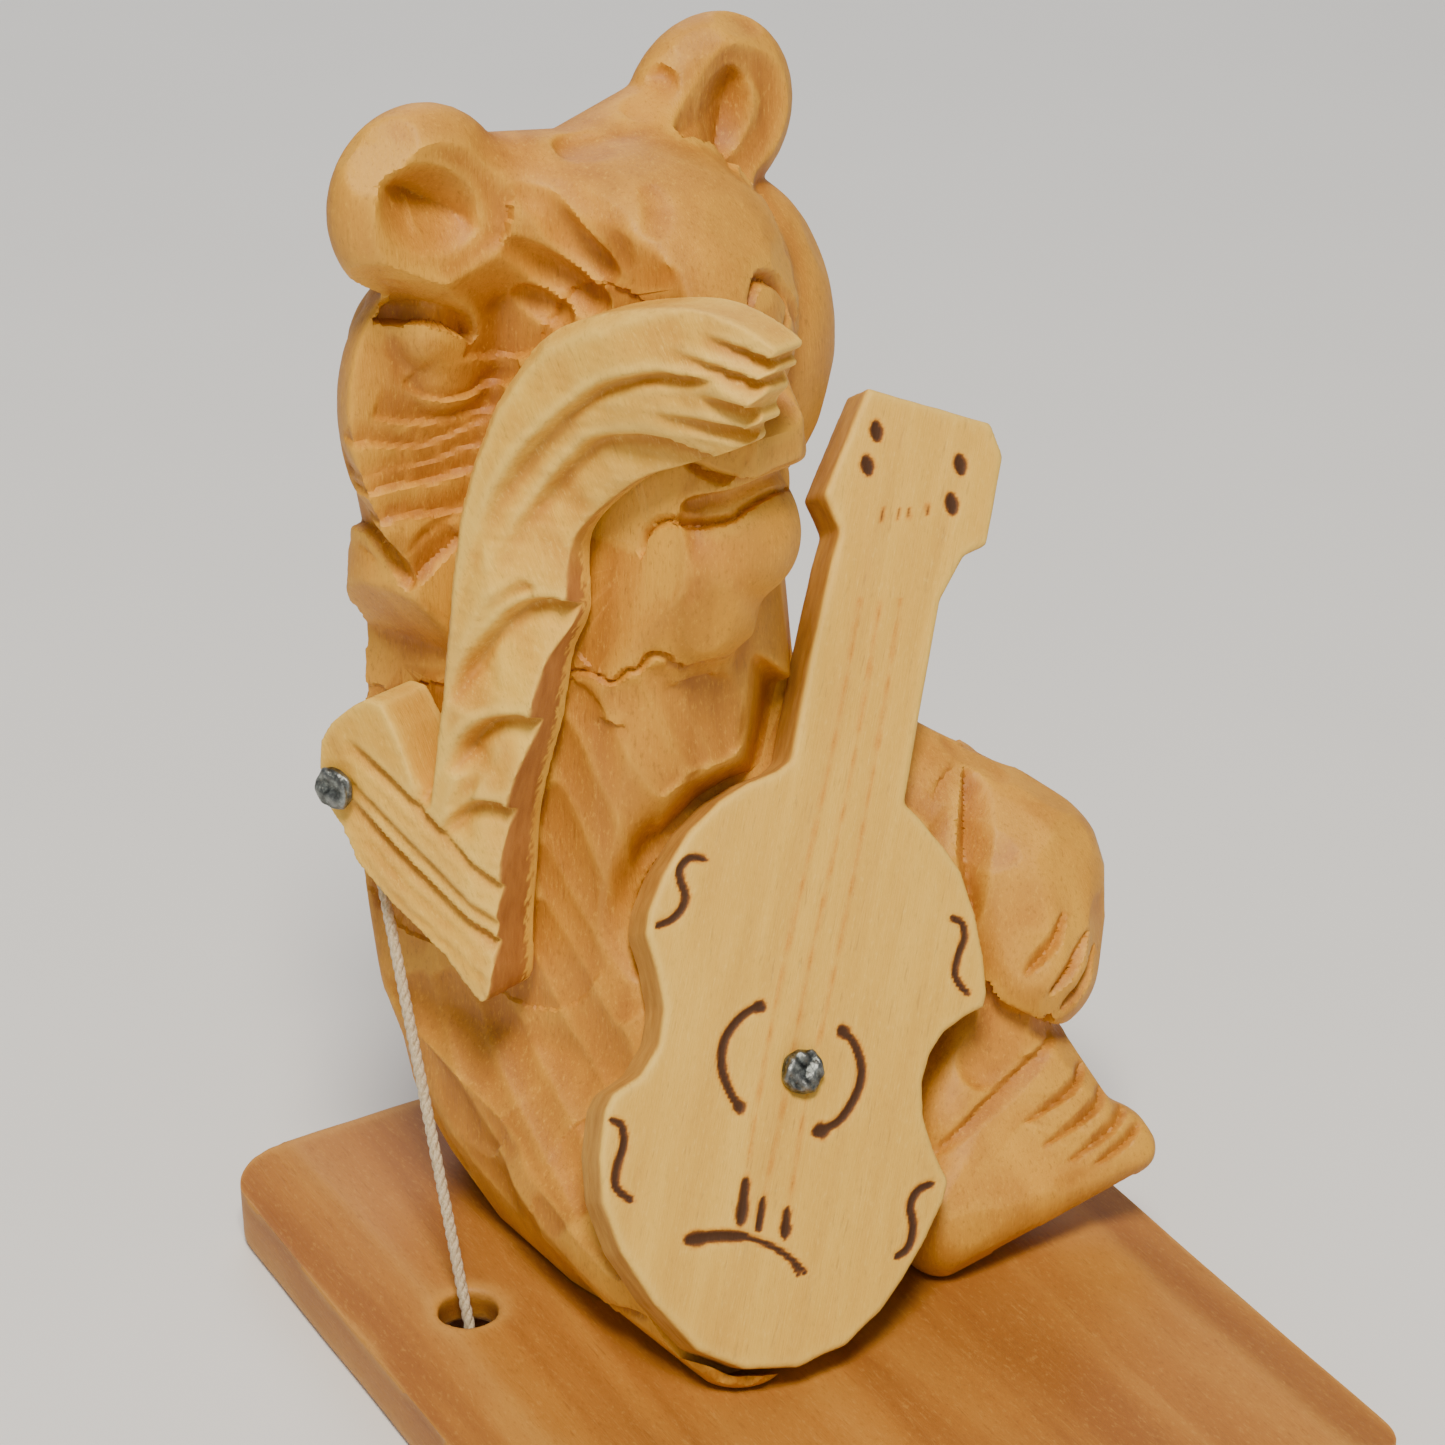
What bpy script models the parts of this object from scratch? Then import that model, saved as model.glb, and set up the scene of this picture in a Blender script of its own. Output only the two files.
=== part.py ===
"""A carved wooden bear that sits on a board and holds a violin, its right arm raised to its face.

Metres, +Z up. The origin is the middle of the board's underside and the bear looks along -Y.
The carved figure is drawn in units, shares of its height, in a frame that stands on the board.
"""

import math

import bmesh
import bpy
import numpy as np
from mathutils import Matrix, Vector
from mathutils.bvhtree import BVHTree

# Board
BOARD_LENGTH = 0.100
BOARD_WIDTH = 0.080
BOARD_THICKNESS = 0.009
BOARD_CORNER = 0.005
PLANED_EDGE_WIDTH = 0.0075
PLANED_EDGE_DEPTH = 0.0020
EDGE_BREAK = 0.0005
STRING_HOLE = 0.0060
STRING_HOLE_FROM_SIDE = 0.0104
STRING_HOLE_FROM_MIDDLE = 0.0135
KNOT_RECESS = 0.0100
KNOT_RECESS_DEPTH = 0.0050

# Bear: one unit of the carving is this share of the height from the board to the ear tip
BEAR_HEIGHT = 0.121
UNITS_IN_HEIGHT = 121
UNIT = BEAR_HEIGHT / UNITS_IN_HEIGHT
BEAR_TURN = math.radians(8.6)
HEAD_TILT = math.radians(3.0)

# Lever arm, sawn from a thin board and nailed to the right shoulder
ARM_THICKNESS = 0.0075
ARM_TURN = math.radians(17.4)
ARM_LEAN = math.radians(8.0)

# Violin, a flat plate nailed to the belly
VIOLIN_LENGTH = 0.098
VIOLIN_THICKNESS = 0.0060
VIOLIN_TURN = math.radians(-13.3)
VIOLIN_LEAN = math.radians(31.8)
VIOLIN_TILT = math.radians(26.3)

# Nails, string and fits
NAIL_SHANK = 0.0018
NAIL_HEAD = 0.0046
NAIL_HEAD_THICKNESS = 0.0012
NAIL_IN_BODY = 0.0090
STRING_DIAMETER = 0.0012
STRING_IN_ARM = 0.0025
KNOT_WIDTH = 0.0070
KNOT_HEIGHT = 0.0040
FIT_GAP = 0.0003
SWING_GAP = 0.0007

BEAR_FRAME = (Matrix.Translation((-1.2 * UNIT, 25.0 * UNIT, BOARD_THICKNESS + FIT_GAP))
              @ Matrix.Rotation(BEAR_TURN, 4, "Z"))
# The nails' places in the bear's frame, in units: on the arm's outer face and on the violin's front
ARM_NAIL = Vector((-27.9, 14.9, 49.1))
VIOLIN_NAIL = Vector((-2.7, -26.0, 26.4))


def clear_scene():
    for thing in list(bpy.data.objects):
        bpy.data.objects.remove(thing, do_unlink=True)


def material(name, colour, roughness=0.5, metallic=0.0):
    made = bpy.data.materials.new(name)
    made.use_nodes = True
    shader = made.node_tree.nodes["Principled BSDF"]
    shader.inputs["Base Color"].default_value = (*colour, 1.0)
    shader.inputs["Roughness"].default_value = roughness
    shader.inputs["Metallic"].default_value = metallic
    made.diffuse_color = (*colour, 1.0)
    return made


def mesh_object(name, mesh, finish=None, place=Matrix.Identity(4)):
    thing = bpy.data.objects.new(name, mesh)
    bpy.context.scene.collection.objects.link(thing)
    thing.matrix_world = place
    if finish:
        mesh.materials.clear()
        mesh.materials.append(finish)
    return thing


def new_object(name, bm, finish=None, place=Matrix.Identity(4)):
    mesh = bpy.data.meshes.new(name)
    bmesh.ops.recalc_face_normals(bm, faces=bm.faces)
    bm.to_mesh(mesh)
    bm.free()
    return mesh_object(name, mesh, finish, place)


def cut_with(thing, cutter):
    cutter.hide_render = True
    cutter.display_type = "WIRE"
    modifier = thing.modifiers.new(cutter.name, "BOOLEAN")
    modifier.object = cutter
    modifier.operation = "DIFFERENCE"
    modifier.solver = "EXACT"


def evaluated_mesh(thing):
    bpy.context.view_layer.update()
    graph = bpy.context.evaluated_depsgraph_get()
    return bpy.data.meshes.new_from_object(thing.evaluated_get(graph))


def one_block(name, bm, voxel, softening):
    """The overlapping forms fused into one skin, as a mesh."""
    rough = new_object(name, bm)
    fuse = rough.modifiers.new("fuse", "REMESH")
    fuse.mode = "VOXEL"
    fuse.voxel_size = voxel
    soften = rough.modifiers.new("soften", "SMOOTH")
    soften.iterations = softening
    mesh = evaluated_mesh(rough)
    bpy.data.objects.remove(rough, do_unlink=True)
    return mesh


def frame(origin, across, up):
    """Frame in the bear's space: across, up and out of the plate's face."""
    out = across.cross(up)
    turn = Matrix((across, up, out)).transposed().to_4x4()
    return BEAR_FRAME @ Matrix.Translation(origin * UNIT) @ turn


def arm_frame():
    """Stands at the nail on the arm's outer face: x forwards, y up, z away from the bear."""
    forward = Vector((math.sin(ARM_TURN), -math.cos(ARM_TURN), 0))
    out = Vector((-math.cos(ARM_TURN) * math.cos(ARM_LEAN), -math.sin(ARM_TURN) * math.cos(ARM_LEAN),
                  math.sin(ARM_LEAN)))
    return frame(ARM_NAIL, forward, out.cross(forward))


def violin_frame():
    """Stands at the nail on the violin's front: x across, y towards the pegs, z out of the face."""
    turn = (Matrix.Rotation(VIOLIN_TURN, 3, "Z") @ Matrix.Rotation(math.pi / 2 - VIOLIN_LEAN, 3, "X")
            @ Matrix.Rotation(-VIOLIN_TILT, 3, "Z"))
    return frame(VIOLIN_NAIL, turn.col[0], turn.col[1])


# Forms, in units in the bear's frame


def hull(bm, points):
    verts = [bm.verts.new(p) for p in points]
    made = bmesh.ops.convex_hull(bm, input=verts)
    spare = {v for v in made["geom_interior"] if isinstance(v, bmesh.types.BMVert)}
    bmesh.ops.delete(bm, geom=list(spare), context="VERTS")


def ball(centre, radii, turn=0.0, axis="Y", rings=12, sides=24):
    """Points of an egg round the centre, turned about one axis."""
    spin = Matrix.Rotation(turn, 3, axis)
    points = []
    for i in range(rings + 1):
        polar = math.pi * i / rings
        for j in range(sides if 0 < i < rings else 1):
            around = 2 * math.pi * j / sides
            p = (math.sin(polar) * math.cos(around), math.sin(polar) * math.sin(around), math.cos(polar))
            points.append(Vector(centre) + spin @ Vector(p[k] * radii[k] for k in range(3)))
    return points


def limb(bm, joints):
    """Rounded limb through (centre, radius) joints."""
    for (a, ra), (b, rb) in zip(joints, joints[1:]):
        hull(bm, ball(a, (ra,) * 3) + ball(b, (rb,) * 3))


def wedge(bm, *ends):
    """Block between rectangles (y, low z, high z, half width low, half width high)."""
    points = []
    for y, low, high, half_low, half_high in ends:
        points += [Vector((s * half_low, y, low)) for s in (-1, 1)]
        points += [Vector((s * half_high, y, high)) for s in (-1, 1)]
    hull(bm, points)


def loft(bm, sections, sides=48):
    rings = []
    for z, front, back, half, taper, square in sections:
        middle, depth = (front + back) / 2, (back - front) / 2
        ring = []
        for i in range(sides):
            angle = 2 * math.pi * i / sides
            c, s = math.cos(angle), math.sin(angle)
            x = half * math.copysign(abs(c) ** (2 / square), c)
            y = math.copysign(abs(s) ** (2 / square), s)
            ring.append(bm.verts.new((x * (1 - taper * (1 - y) / 2), middle + depth * y, z)))
        rings.append(ring)
    for low, high in zip(rings, rings[1:]):
        for i in range(sides):
            j = (i + 1) % sides
            bm.faces.new((low[i], low[j], high[j], high[i]))
    bm.faces.new(rings[0][::-1])
    bm.faces.new(rings[-1])


# Body sections: z, front, back, half width, taper to the front, squareness
BODY = [
    (-1.0, -27.0, 20.0, 17.5, -0.16, 2.6),
    (4.0, -29.0, 22.0, 20.2, -0.06, 2.7),
    (12.0, -28.5, 23.4, 23.8, 0.05, 2.9),
    (24.0, -22.5, 24.0, 26.4, 0.22, 3.2),
    (38.0, -13.0, 24.2, 27.6, 0.42, 3.4),
    (52.0, -10.6, 24.0, 28.6, 0.55, 3.5),
    (66.0, -9.6, 23.8, 28.4, 0.59, 3.5),
    (78.0, -7.0, 23.4, 27.0, 0.56, 3.2),
    (90.0, -2.0, 22.0, 22.0, 0.42, 2.8),
    (98.0, 4.0, 18.5, 13.0, 0.20, 2.2),
]
HEAD_PIVOT = Vector((0, 5, 90))
HEAD_TURN = Matrix.Rotation(-HEAD_TILT, 3, "Y")
EAR_LIFT = {-1: 109.8, 1: 109.4}
EAR_OUT = {-1: 17.6, 1: 16.2}


def on_head(place):
    """A place drawn on the upright head, where the tilt of the head takes it."""
    return HEAD_TURN @ (Vector(place) - HEAD_PIVOT) + HEAD_PIVOT


def head_forms(bm):
    hull(bm, ball((0, 5, 95.5), (18.0, 17.0, 17.0)))
    for side in (-1, 1):
        hull(bm, ball((side * 16.2, 9.8, 86), (10.4, 12.2, 17.0), side * 0.12))
    wedge(bm, (-17.0, 86.0, 92.0, 5.2, 4.0), (-2.0, 80.0, 104.0, 11.5, 9.0))
    wedge(bm, (-18.6, 87.0, 91.8, 3.2, 3.8), (-13.0, 87.5, 94.8, 4.0, 4.6))
    hull(bm, ball((1.2, -8.6, 77.8), (6.6, 8.4, 7.4), 0.25, "X"))
    hull(bm, ball((-1.5, -8.0, 76.0), (6.5, 7.5, 6.0)) + ball((-2.5, -7.4, 68.0), (5.5, 7.0, 4.0)))
    hull(bm, ball((0, 0, 78), (13.5, 11.5, 11.5)))
    hull(bm, ball((-10, -5, 78), (7.5, 9.0, 11.5), -0.3, "Z") + ball((-13, 6, 76), (9, 9, 12)))


def ear_forms(bm):
    for side in (-1, 1):
        lift = EAR_LIFT[side]
        hull(bm, ball((side * EAR_OUT[side], 10.5, lift), (9.4, 5.8, 9.8), side * 0.45))
        root = ball((side * 0.5 - 1.5, 8.5, 106), (7, 7, 7))
        hull(bm, ball((side * 14.4, 11, lift - 2.0), (7, 5.2, 7.6)) + root)
        hull(bm, ball((side * 14.6, 16.0, 92.0), (8.0, 7.0, 9.0)))


def trunk_forms(bm):
    loft(bm, BODY)
    limb(bm, [((-15.0, -8, 12), 9.0), ((-15.2, -20, 9.0), 8.6), ((-14.2, -30.5, 5), 7.0)])
    limb(bm, [((16, -2, 15), 11.0), ((20, -18, 12.5), 10.0), ((20, -25, 9.5), 8.2)])
    hull(bm, ball((24.5, -22, 18.5), (7.4, 6.5, 6.5)) + ball((30, -32, 10.5), (3, 4, 4))
         + ball((17, -26, 10), (6, 6, 8)))
    hull(bm, ball((11.5, -31, 5.0), (4.5, 5, 6.0)) + ball((22, -28, 10.5), (5, 5.5, 7.0))
         + ball((33.0, -34.5, 8.0), (2.8, 5.0, 3.6)))
    limb(bm, [((16, 0, 45), 9.0), ((26.5, -10, 36.5), 10.2), ((31.0, -18, 31.5), 10.8),
              ((28.5, -24, 26), 7.8)])
    hull(bm, ball((12, -8, 34), (9, 9, 14)) + ball((21, -14, 32), (9, 8, 11)))


def tilted(bm, forms):
    """Adds forms of the upright head, tilted with it."""
    head = bmesh.new()
    forms(head)
    for v in head.verts:
        v.co = on_head(v.co)
    mesh = bpy.data.meshes.new("head")
    head.to_mesh(mesh)
    head.free()
    bm.from_mesh(mesh)
    bpy.data.meshes.remove(mesh)


# Carving: tool strokes that press the skin in, along paths laid on it


class Skin:
    """A mesh whose points the strokes push in."""

    def __init__(self, mesh):
        self.mesh = mesh
        self.count = len(mesh.vertices)
        self.points = np.empty(self.count * 3)
        mesh.vertices.foreach_get("co", self.points)
        self.points = self.points.reshape(-1, 3) / UNIT
        normals = np.empty(self.count * 3)
        mesh.vertices.foreach_get("normal", normals)
        self.normals = normals.reshape(-1, 3)
        self.sunk = np.zeros(self.count)
        bm = bmesh.new()
        bm.from_mesh(mesh)
        bmesh.ops.scale(bm, vec=(1 / UNIT,) * 3, verts=bm.verts)
        self.tree = BVHTree.FromBMesh(bm)
        bm.free()

    def laid(self, path, steps=12):
        """The path bent smoothly through its points and dropped onto the skin."""
        path = [Vector(p) for p in path]
        if len(path) == 2:
            path.insert(1, (path[0] + path[1]) / 2)
        smooth = []
        for i in range(len(path) - 1):
            before, after = path[max(i - 1, 0)], path[min(i + 2, len(path) - 1)]
            for j in range(steps + (i == len(path) - 2)):
                t = j / steps
                a, b = path[i], path[i + 1]
                smooth.append(0.5 * (2 * a + (b - before) * t + (2 * before - 5 * a + 4 * b - after) * t * t
                                     + (3 * a - before - 3 * b + after) * t ** 3))
        return np.array([self.tree.find_nearest(p)[0] for p in smooth])

    def stroke(self, path, width, depth, sharp=False):
        """A gouge's round channel, or a knife's V, shallow at both ends."""
        line = self.laid(path)
        low, high = line.min(0) - width, line.max(0) + width
        near = np.where(((self.points > low) & (self.points < high)).all(1))[0]
        gap = np.linalg.norm(self.points[near, None, :] - line[None, :, :], axis=2)
        nearest = gap.argmin(1)
        share = np.clip(gap[np.arange(len(near)), nearest] / (width / 2), 0, 1)
        along = nearest / (len(line) - 1)
        ends = np.clip(np.minimum(along, 1 - along) * 6, 0, 1) ** 0.5
        profile = (1 - share) if sharp else (1 - share ** 2)
        self.sunk[near] = np.maximum(self.sunk[near], depth * profile * ends)

    def settle(self):
        """Moves the points in by what the strokes took off."""
        moved = (self.points - self.normals * self.sunk[:, None]) * UNIT
        self.mesh.vertices.foreach_set("co", moved.ravel())
        self.mesh.update()


def carve_bear(mesh):
    skin = Skin(mesh)
    # Ear hollows: a round dish with a knife cut in it
    skin.stroke([(-23.5, 6, 110.5), (-19.5, 5, 109.8), (-16.0, 6, 107.5)], 8.0, 2.6)
    skin.stroke([(-23.5, 6, 111.0), (-18.6, 6, 109.2), (-14.8, 6, 106.0)], 5.0, 4.2)
    skin.stroke([(12.0, 6, 116.5), (14.6, 6, 113.5), (16.0, 7, 108.0)], 8.0, 2.8)
    skin.stroke([(12.5, 6, 115.5), (14.6, 6, 112.5), (16.0, 7, 107.5)], 4.6, 4.0)
    # Flutes from the right ear towards the paw, and their like on the left
    for side in (-1, 1):
        skin.stroke([(side * 13.2, 5.4, 109.6), (side * 10, 2.8, 108.2), (side * 7.1, -0.1, 105.4),
                     (side * 5.6, -2.9, 103)], 4.4, 1.0)
        skin.stroke([(side * 13.2, 4.7, 105.7), (side * 9, 3.7, 103), (side * 6.6, -1.5, 100)], 4.4, 1.2)
        skin.stroke([(side * 11.6, 5.6, 101), (side * 8.6, 4.3, 98.9), (side * 7.5, 0.3, 97.5)], 3.6, 1.0)
    # Ruffs
    for i, z in enumerate((92.5, 87.6, 83.2, 79.0, 75.0)):
        skin.stroke([(-16, 26, z), (-25, 20, z + 0.6), (-23, 13, z), (-17, 10.5, z - 0.8),
                     (-11, 9, z + 0.5 - i)],
                    4.6, 1.5)
        skin.stroke([(16, 26, z + 2), (26, 17, z + 1), (24, 4, z + 0.5), (17, -4, z - 2)], 4.8, 1.6)
    for i in range(6):
        skin.stroke([(-18 + 7.2 * i, 34, 98 - 0.6 * abs(2.5 - i)), (-20 + 7.6 * i, 34, 86),
                     (-19 + 7.6 * i, 34, 73)], 6.2, 1.2)
    # Face: eyes, mouth with its hooked corner, underside of the jaw
    skin.stroke([(4.1, -12, 102.2), (6.6, -11, 101.4), (9.0, -9, 99.3), (9.4, -9, 96.0), (11.5, -6, 92.5)],
                2.2, 1.7, sharp=True)
    skin.stroke([(4.1, -12, 102), (2.9, -12, 100), (3.8, -12, 97.5), (7.0, -11, 94.9)], 1.8, 0.9, sharp=True)
    skin.stroke([(-8.6, -8.4, 79.0), (-8.6, -8.4, 81.2), (-6.8, -10, 82.6), (-3.6, -14, 83.0), (0, -18, 84.6),
                 (5, -14, 84.0), (10, -6, 83.0)], 2.2, 1.8, sharp=True)
    skin.stroke([(-13, -2, 64.5), (-9.8, -7.6, 65.0), (-5, -11.2, 65.6), (2, -14, 66.5), (11, -11, 67),
                 (19, -4, 69)],
                2.8, 1.6, sharp=True)
    # Long flutes: chest, right side, left side and back
    for i in range(7):
        skin.stroke([(-12.6 + 5.2 * i, -4 - i, 64 - i), (-8.6 + 5 * i, -14, 52 - i),
                     (-8 + 5 * i, -20, 38 - i)], 4.4, 0.9)
        skin.stroke([(-19 + 4.5 * i, -2 - 2 * i, 50 - 3.6 * i), (-16 + 3.0 * i, -12, 39 - 2.6 * i),
                     (-15 + 2.5 * i, -22, 28 - 1.4 * i)], 4.4, 0.9)
        skin.stroke([(-30, 22 - 6.4 * i, 32 - 2 * i), (-30, 12 - 6.4 * i, 22 - 1.4 * i),
                     (-30, 2 - 6.0 * i, 12 - i)], 5.4, 0.8)
        skin.stroke([(34, 24 - 5.2 * i, 62 - i), (34, 20 - 5.2 * i, 42), (32, 15 - 5.2 * i, 20)], 5.6, 1.0)
        skin.stroke([(-21 + 7 * i, 34, 68), (-24 + 7.4 * i, 34, 46), (-20 + 6.4 * i, 34, 12)], 6.6, 1.1)
    # Left arm: the cut at the elbow's crook, fingers, fold over the leg
    skin.stroke([(26.4, -16.4, 46.0), (24.0, -19.8, 41.1), (22.4, -21.5, 36.5)], 3.2, 2.2, sharp=True)
    for i in range(3):
        skin.stroke([(28.6 + 1.8 * i, -29.0 - 0.8 * i, 33.0 - 2.2 * i),
                     (26.4 + 1.2 * i, -30.0 - i, 31.0 - 2.2 * i),
                     (23.4 + 1.6 * i, -29.0 - 1.2 * i, 28.6 - 2.4 * i)], 2.0, 1.5, sharp=True)
    skin.stroke([(20, -24, 26.5), (23.5, -29.2, 24.0), (27.3, -29.4, 21.5), (33, -24, 20)], 2.8, 1.8,
                sharp=True)
    # Left foot: crease and toes; right foot: toes and crease
    skin.stroke([(28.1, -28.4, 19.5), (19.9, -30.5, 16.0), (12.6, -29.0, 12.0)], 2.0, 1.2, sharp=True)
    for i in range(4):
        skin.stroke([(31.0 + 1.0 * i, -30.6 - 2.4 * i, 15.4 - 1.8 * i),
                     (25.6 + 1.7 * i, -33.4 - 1.7 * i, 14.6 - 2.0 * i),
                     (21.8 + 1.9 * i, -33.2 - 1.6 * i, 13.8 - 2.0 * i)], 2.4, 1.4, sharp=True)
    for i in range(4):
        skin.stroke([(-19.5 + 2.6 * i, -34.2 - 0.8 * i, 6.4), (-19.8 + 2.6 * i, -35.6 - 0.8 * i, 1.0)],
                    2.0, 1.4,
                    sharp=True)
    skin.stroke([(-21.8, -19.7, 4.2), (-22.6, -25.5, 5.8)], 1.8, 1.0, sharp=True)
    skin.settle()


# Pieces

BEAR_VOXEL = 0.0008
BEAR_TRIANGLES = 6200
ARM_TRIANGLES = 1500
ARM_VOXEL = 0.0006
BANK_RISE = 40.0
BANK_RUN = 0.5
BANK_BACK = 3.4
BANK_AHEAD = 2.2
BORE_SIDES = 16


def box(name, low, high, place):
    bm = bmesh.new()
    bmesh.ops.create_cube(bm, size=1.0)
    for v in bm.verts:
        v.co = Vector((low[k] + (high[k] - low[k]) * (v.co[k] + 0.5) for k in range(3)))
    return new_object(name, bm, place=place)


def pin(name, radius, top, bottom, place, sides=BORE_SIDES):
    """Round bar along the frame's z axis."""
    bm = bmesh.new()
    bmesh.ops.create_cone(bm, cap_ends=True, segments=sides, radius1=radius, radius2=radius,
                          depth=top - bottom)
    bmesh.ops.translate(bm, verts=bm.verts, vec=(0, 0, (top + bottom) / 2))
    return new_object(name, bm, place=place)


def thinned(thing, triangles):
    now = sum(len(p.vertices) - 2 for p in thing.data.polygons)
    thin = thing.modifiers.new("thin", "DECIMATE")
    thin.ratio = min(1.0, triangles / now)


# Corners of the violin's bed, and how far up its banks lean
BED = [(-20.5, -12), (-20.5, 17), (-13, 29), (-9, 38), (6, 38), (6, -23), (-9, -23), (-17, -19)]
BED_BANK = (24.0, 40.0)


def sloped_pocket(name, s_low, s_high, q_low, q_high, deep):
    """Flat the arm slides on, with banks that lean outwards; places along the arm's frame in units."""
    bm = bmesh.new()
    points = []
    for lift, out in ((0, 0), (BANK_RISE, BANK_RUN * BANK_RISE)):
        for s in (s_low - out, s_high + out):
            for q in (q_low - BANK_BACK * out, q_high + BANK_AHEAD * out):
                points.append(Vector((s, q, deep / UNIT + lift)) * UNIT)
    hull(bm, points)
    return new_object(name, bm, place=arm_frame())


def violin_bed():
    """Flat the violin lies on, widening towards the arm; places along the violin's frame in units."""
    bm = bmesh.new()
    low = -(VIOLIN_THICKNESS + FIT_GAP) / UNIT
    points = [Vector((x, y, low)) for x, y in BED]
    out, rise = BED_BANK
    points += [Vector((x - out * (x < 0), y, low + rise)) for x, y in BED]
    for p in points:
        p *= UNIT
    hull(bm, points)
    return new_object("violin bed", bm, place=violin_frame())


def make_bear():
    bm = bmesh.new()
    trunk_forms(bm)
    tilted(bm, head_forms)
    bmesh.ops.scale(bm, vec=(UNIT,) * 3, verts=bm.verts)
    block = mesh_object("block", one_block("block", bm, BEAR_VOXEL, 2), place=BEAR_FRAME)
    inner = -ARM_THICKNESS - SWING_GAP
    cutters = [sloped_pocket("face flat", 9.8, 64, 10, 57, inner),
               sloped_pocket("chest flat", -14, 64, -24, 14, inner), violin_bed()]
    for cutter in cutters:
        cut_with(block, cutter)
    bm = bmesh.new()
    tilted(bm, ear_forms)
    bmesh.ops.scale(bm, vec=(UNIT,) * 3, verts=bm.verts)
    bm.from_mesh(evaluated_mesh(block))
    for thing in cutters + [block]:
        bpy.data.objects.remove(thing, do_unlink=True)
    mesh = one_block("bear", bm, BEAR_VOXEL, 5)
    carve_bear(mesh)
    mesh.shade_smooth()
    bear = mesh_object("bear", mesh, material("bear wood", (0.72, 0.42, 0.16)), BEAR_FRAME)
    thinned(bear, BEAR_TRIANGLES)
    reach = BEAR_HEIGHT
    cut_with(bear, box("seat cut", (-reach, -reach, -reach), (reach, reach, 0), BEAR_FRAME))
    cut_with(bear, plate("arm clearance", grown(arm_ring(), SWING_GAP), inner, reach / 2, arm_frame()))
    under = -VIOLIN_THICKNESS - FIT_GAP
    cut_with(bear, plate("violin clearance", grown(violin_ring(), SWING_GAP), under, reach, violin_frame()))
    bore = NAIL_SHANK / 2 + FIT_GAP
    deep = NAIL_IN_BODY + FIT_GAP
    cut_with(bear, pin("arm nail bore", bore, 0, inner - deep, arm_frame()))
    cut_with(bear, pin("violin nail bore", bore, 0, under - deep, violin_frame()))
    return bear


# Arm outline from the nail, forwards and up, in units
ARM_OUTLINE = [
    (0.5, -3.9), (-1.7, -1.6), (-2.3, 1.2), (-2.4, 4.3), (-0.1, 7.7), (4.7, 10.1), (10.2, 1.8),
    (10.6, 7.6), (11.0, 12.4), (11.3, 22.7), (11.9, 30.9), (13.3, 37.2), (15.2, 42.6), (17.8, 47.0),
    (20.6, 50.6), (25.4, 53.4), (30.7, 55.2), (35.8, 56.2), (40.2, 55.7), (44.2, 54.1), (42.9, 52.8),
    (43.8, 52.0), (42.2, 50.8), (43.1, 49.9), (41.8, 48.0), (42.5, 46.9), (40.6, 45.6), (40.8, 44.2),
    (34.7, 40.8), (30.4, 38.7), (27.3, 36.2), (24.1, 32.7), (22.8, 29.4), (23.4, 23.2), (22.0, 19.0),
    (21.6, 15.7), (21.2, 11.8), (20.2, 6.9), (19.6, 3.5), (19.2, 0.3), (19.3, -4.0), (19.2, -10.0),
    (19.6, -15.6), (18.4, -17.2), (14.0, -13.9), (7.7, -10.5), (2.8, -7.2),
]
BACK_EDGE = (6, 19)
FRONT_EDGE = (27, 42)


def arm_ring():
    return [Vector(p) * UNIT for p in ARM_OUTLINE]


def from_line(points, line):
    """Distance of plan points from a polyline."""
    best = np.full(len(points), np.inf)
    for a, b in zip(line[:-1], line[1:]):
        run = b - a
        share = np.clip(((points - a) @ run) / (run @ run), 0, 1)
        best = np.minimum(best, np.linalg.norm(points - a - share[:, None] * run, axis=1))
    return best


def arm_height(plan):
    """Share of the arm's thickness left at each plan point: planed paw, fur scallops and grooves."""
    outline = np.array(ARM_OUTLINE)
    back = from_line(plan, outline[BACK_EDGE[0]:BACK_EDGE[1]])
    front = from_line(plan, outline[FRONT_EDGE[0]:FRONT_EDGE[1]])
    up = plan[:, 1]
    edge = np.interp(up, (14, 24, 34), (0.86, 0.55, 0.34))
    height = np.minimum(1.0, edge + np.interp(up, (18, 34), (0.05, 0.085)) * front)
    height = np.minimum(height, 0.80 + 0.16 * back)
    height = np.minimum(height, np.interp(plan[:, 0], (24, 44), (1.0, 0.60)) + 0.018 * (56 - up))
    taken = np.zeros(len(plan))

    def groove(path, width, depth, sharp=True):
        share = np.clip(from_line(plan, np.array(path, float)) / (width / 2), 0, 1)
        taken[:] = np.maximum(taken, depth * ((1 - share) if sharp else (1 - share ** 2)))

    for start, end in (((38.6, 53.9), (45, 53.1)), ((36.2, 51.5), (45, 50.9)), ((33.4, 48.2), (44, 48.4)),
                       ((32.2, 45.6), (43, 45.8))):
        groove([start, end], 1.9, 0.36)
    # Two flutes along the wrist, fur scallops below them, grooves from the nail to the elbow
    groove([(14.6, 25.6), (17.0, 32.2), (20.5, 39.0), (24.4, 44.2), (31.0, 48.0), (35.5, 49.0)], 4.6,
           0.16, sharp=False)
    groove([(19.4, 29.3), (22.8, 36.9), (25.8, 40.2), (30.3, 41.9), (34.2, 42.4)], 3.6, 0.16, sharp=False)
    for top in (21.2, 10.6, 0.6, -5.2):
        groove([(13.2, top - 6.4), (16.2, top - 2.6), (22.8, top + 1.0)], 7.4, 0.26, sharp=False)
    for i in range(5):
        groove([(1.2, 5.2 - 2.1 * i), (9.0, 1.2 - 2.6 * i), (20.2, -4.2 - 2.4 * i)], 1.7, 0.13)
    return height - taken


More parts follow.
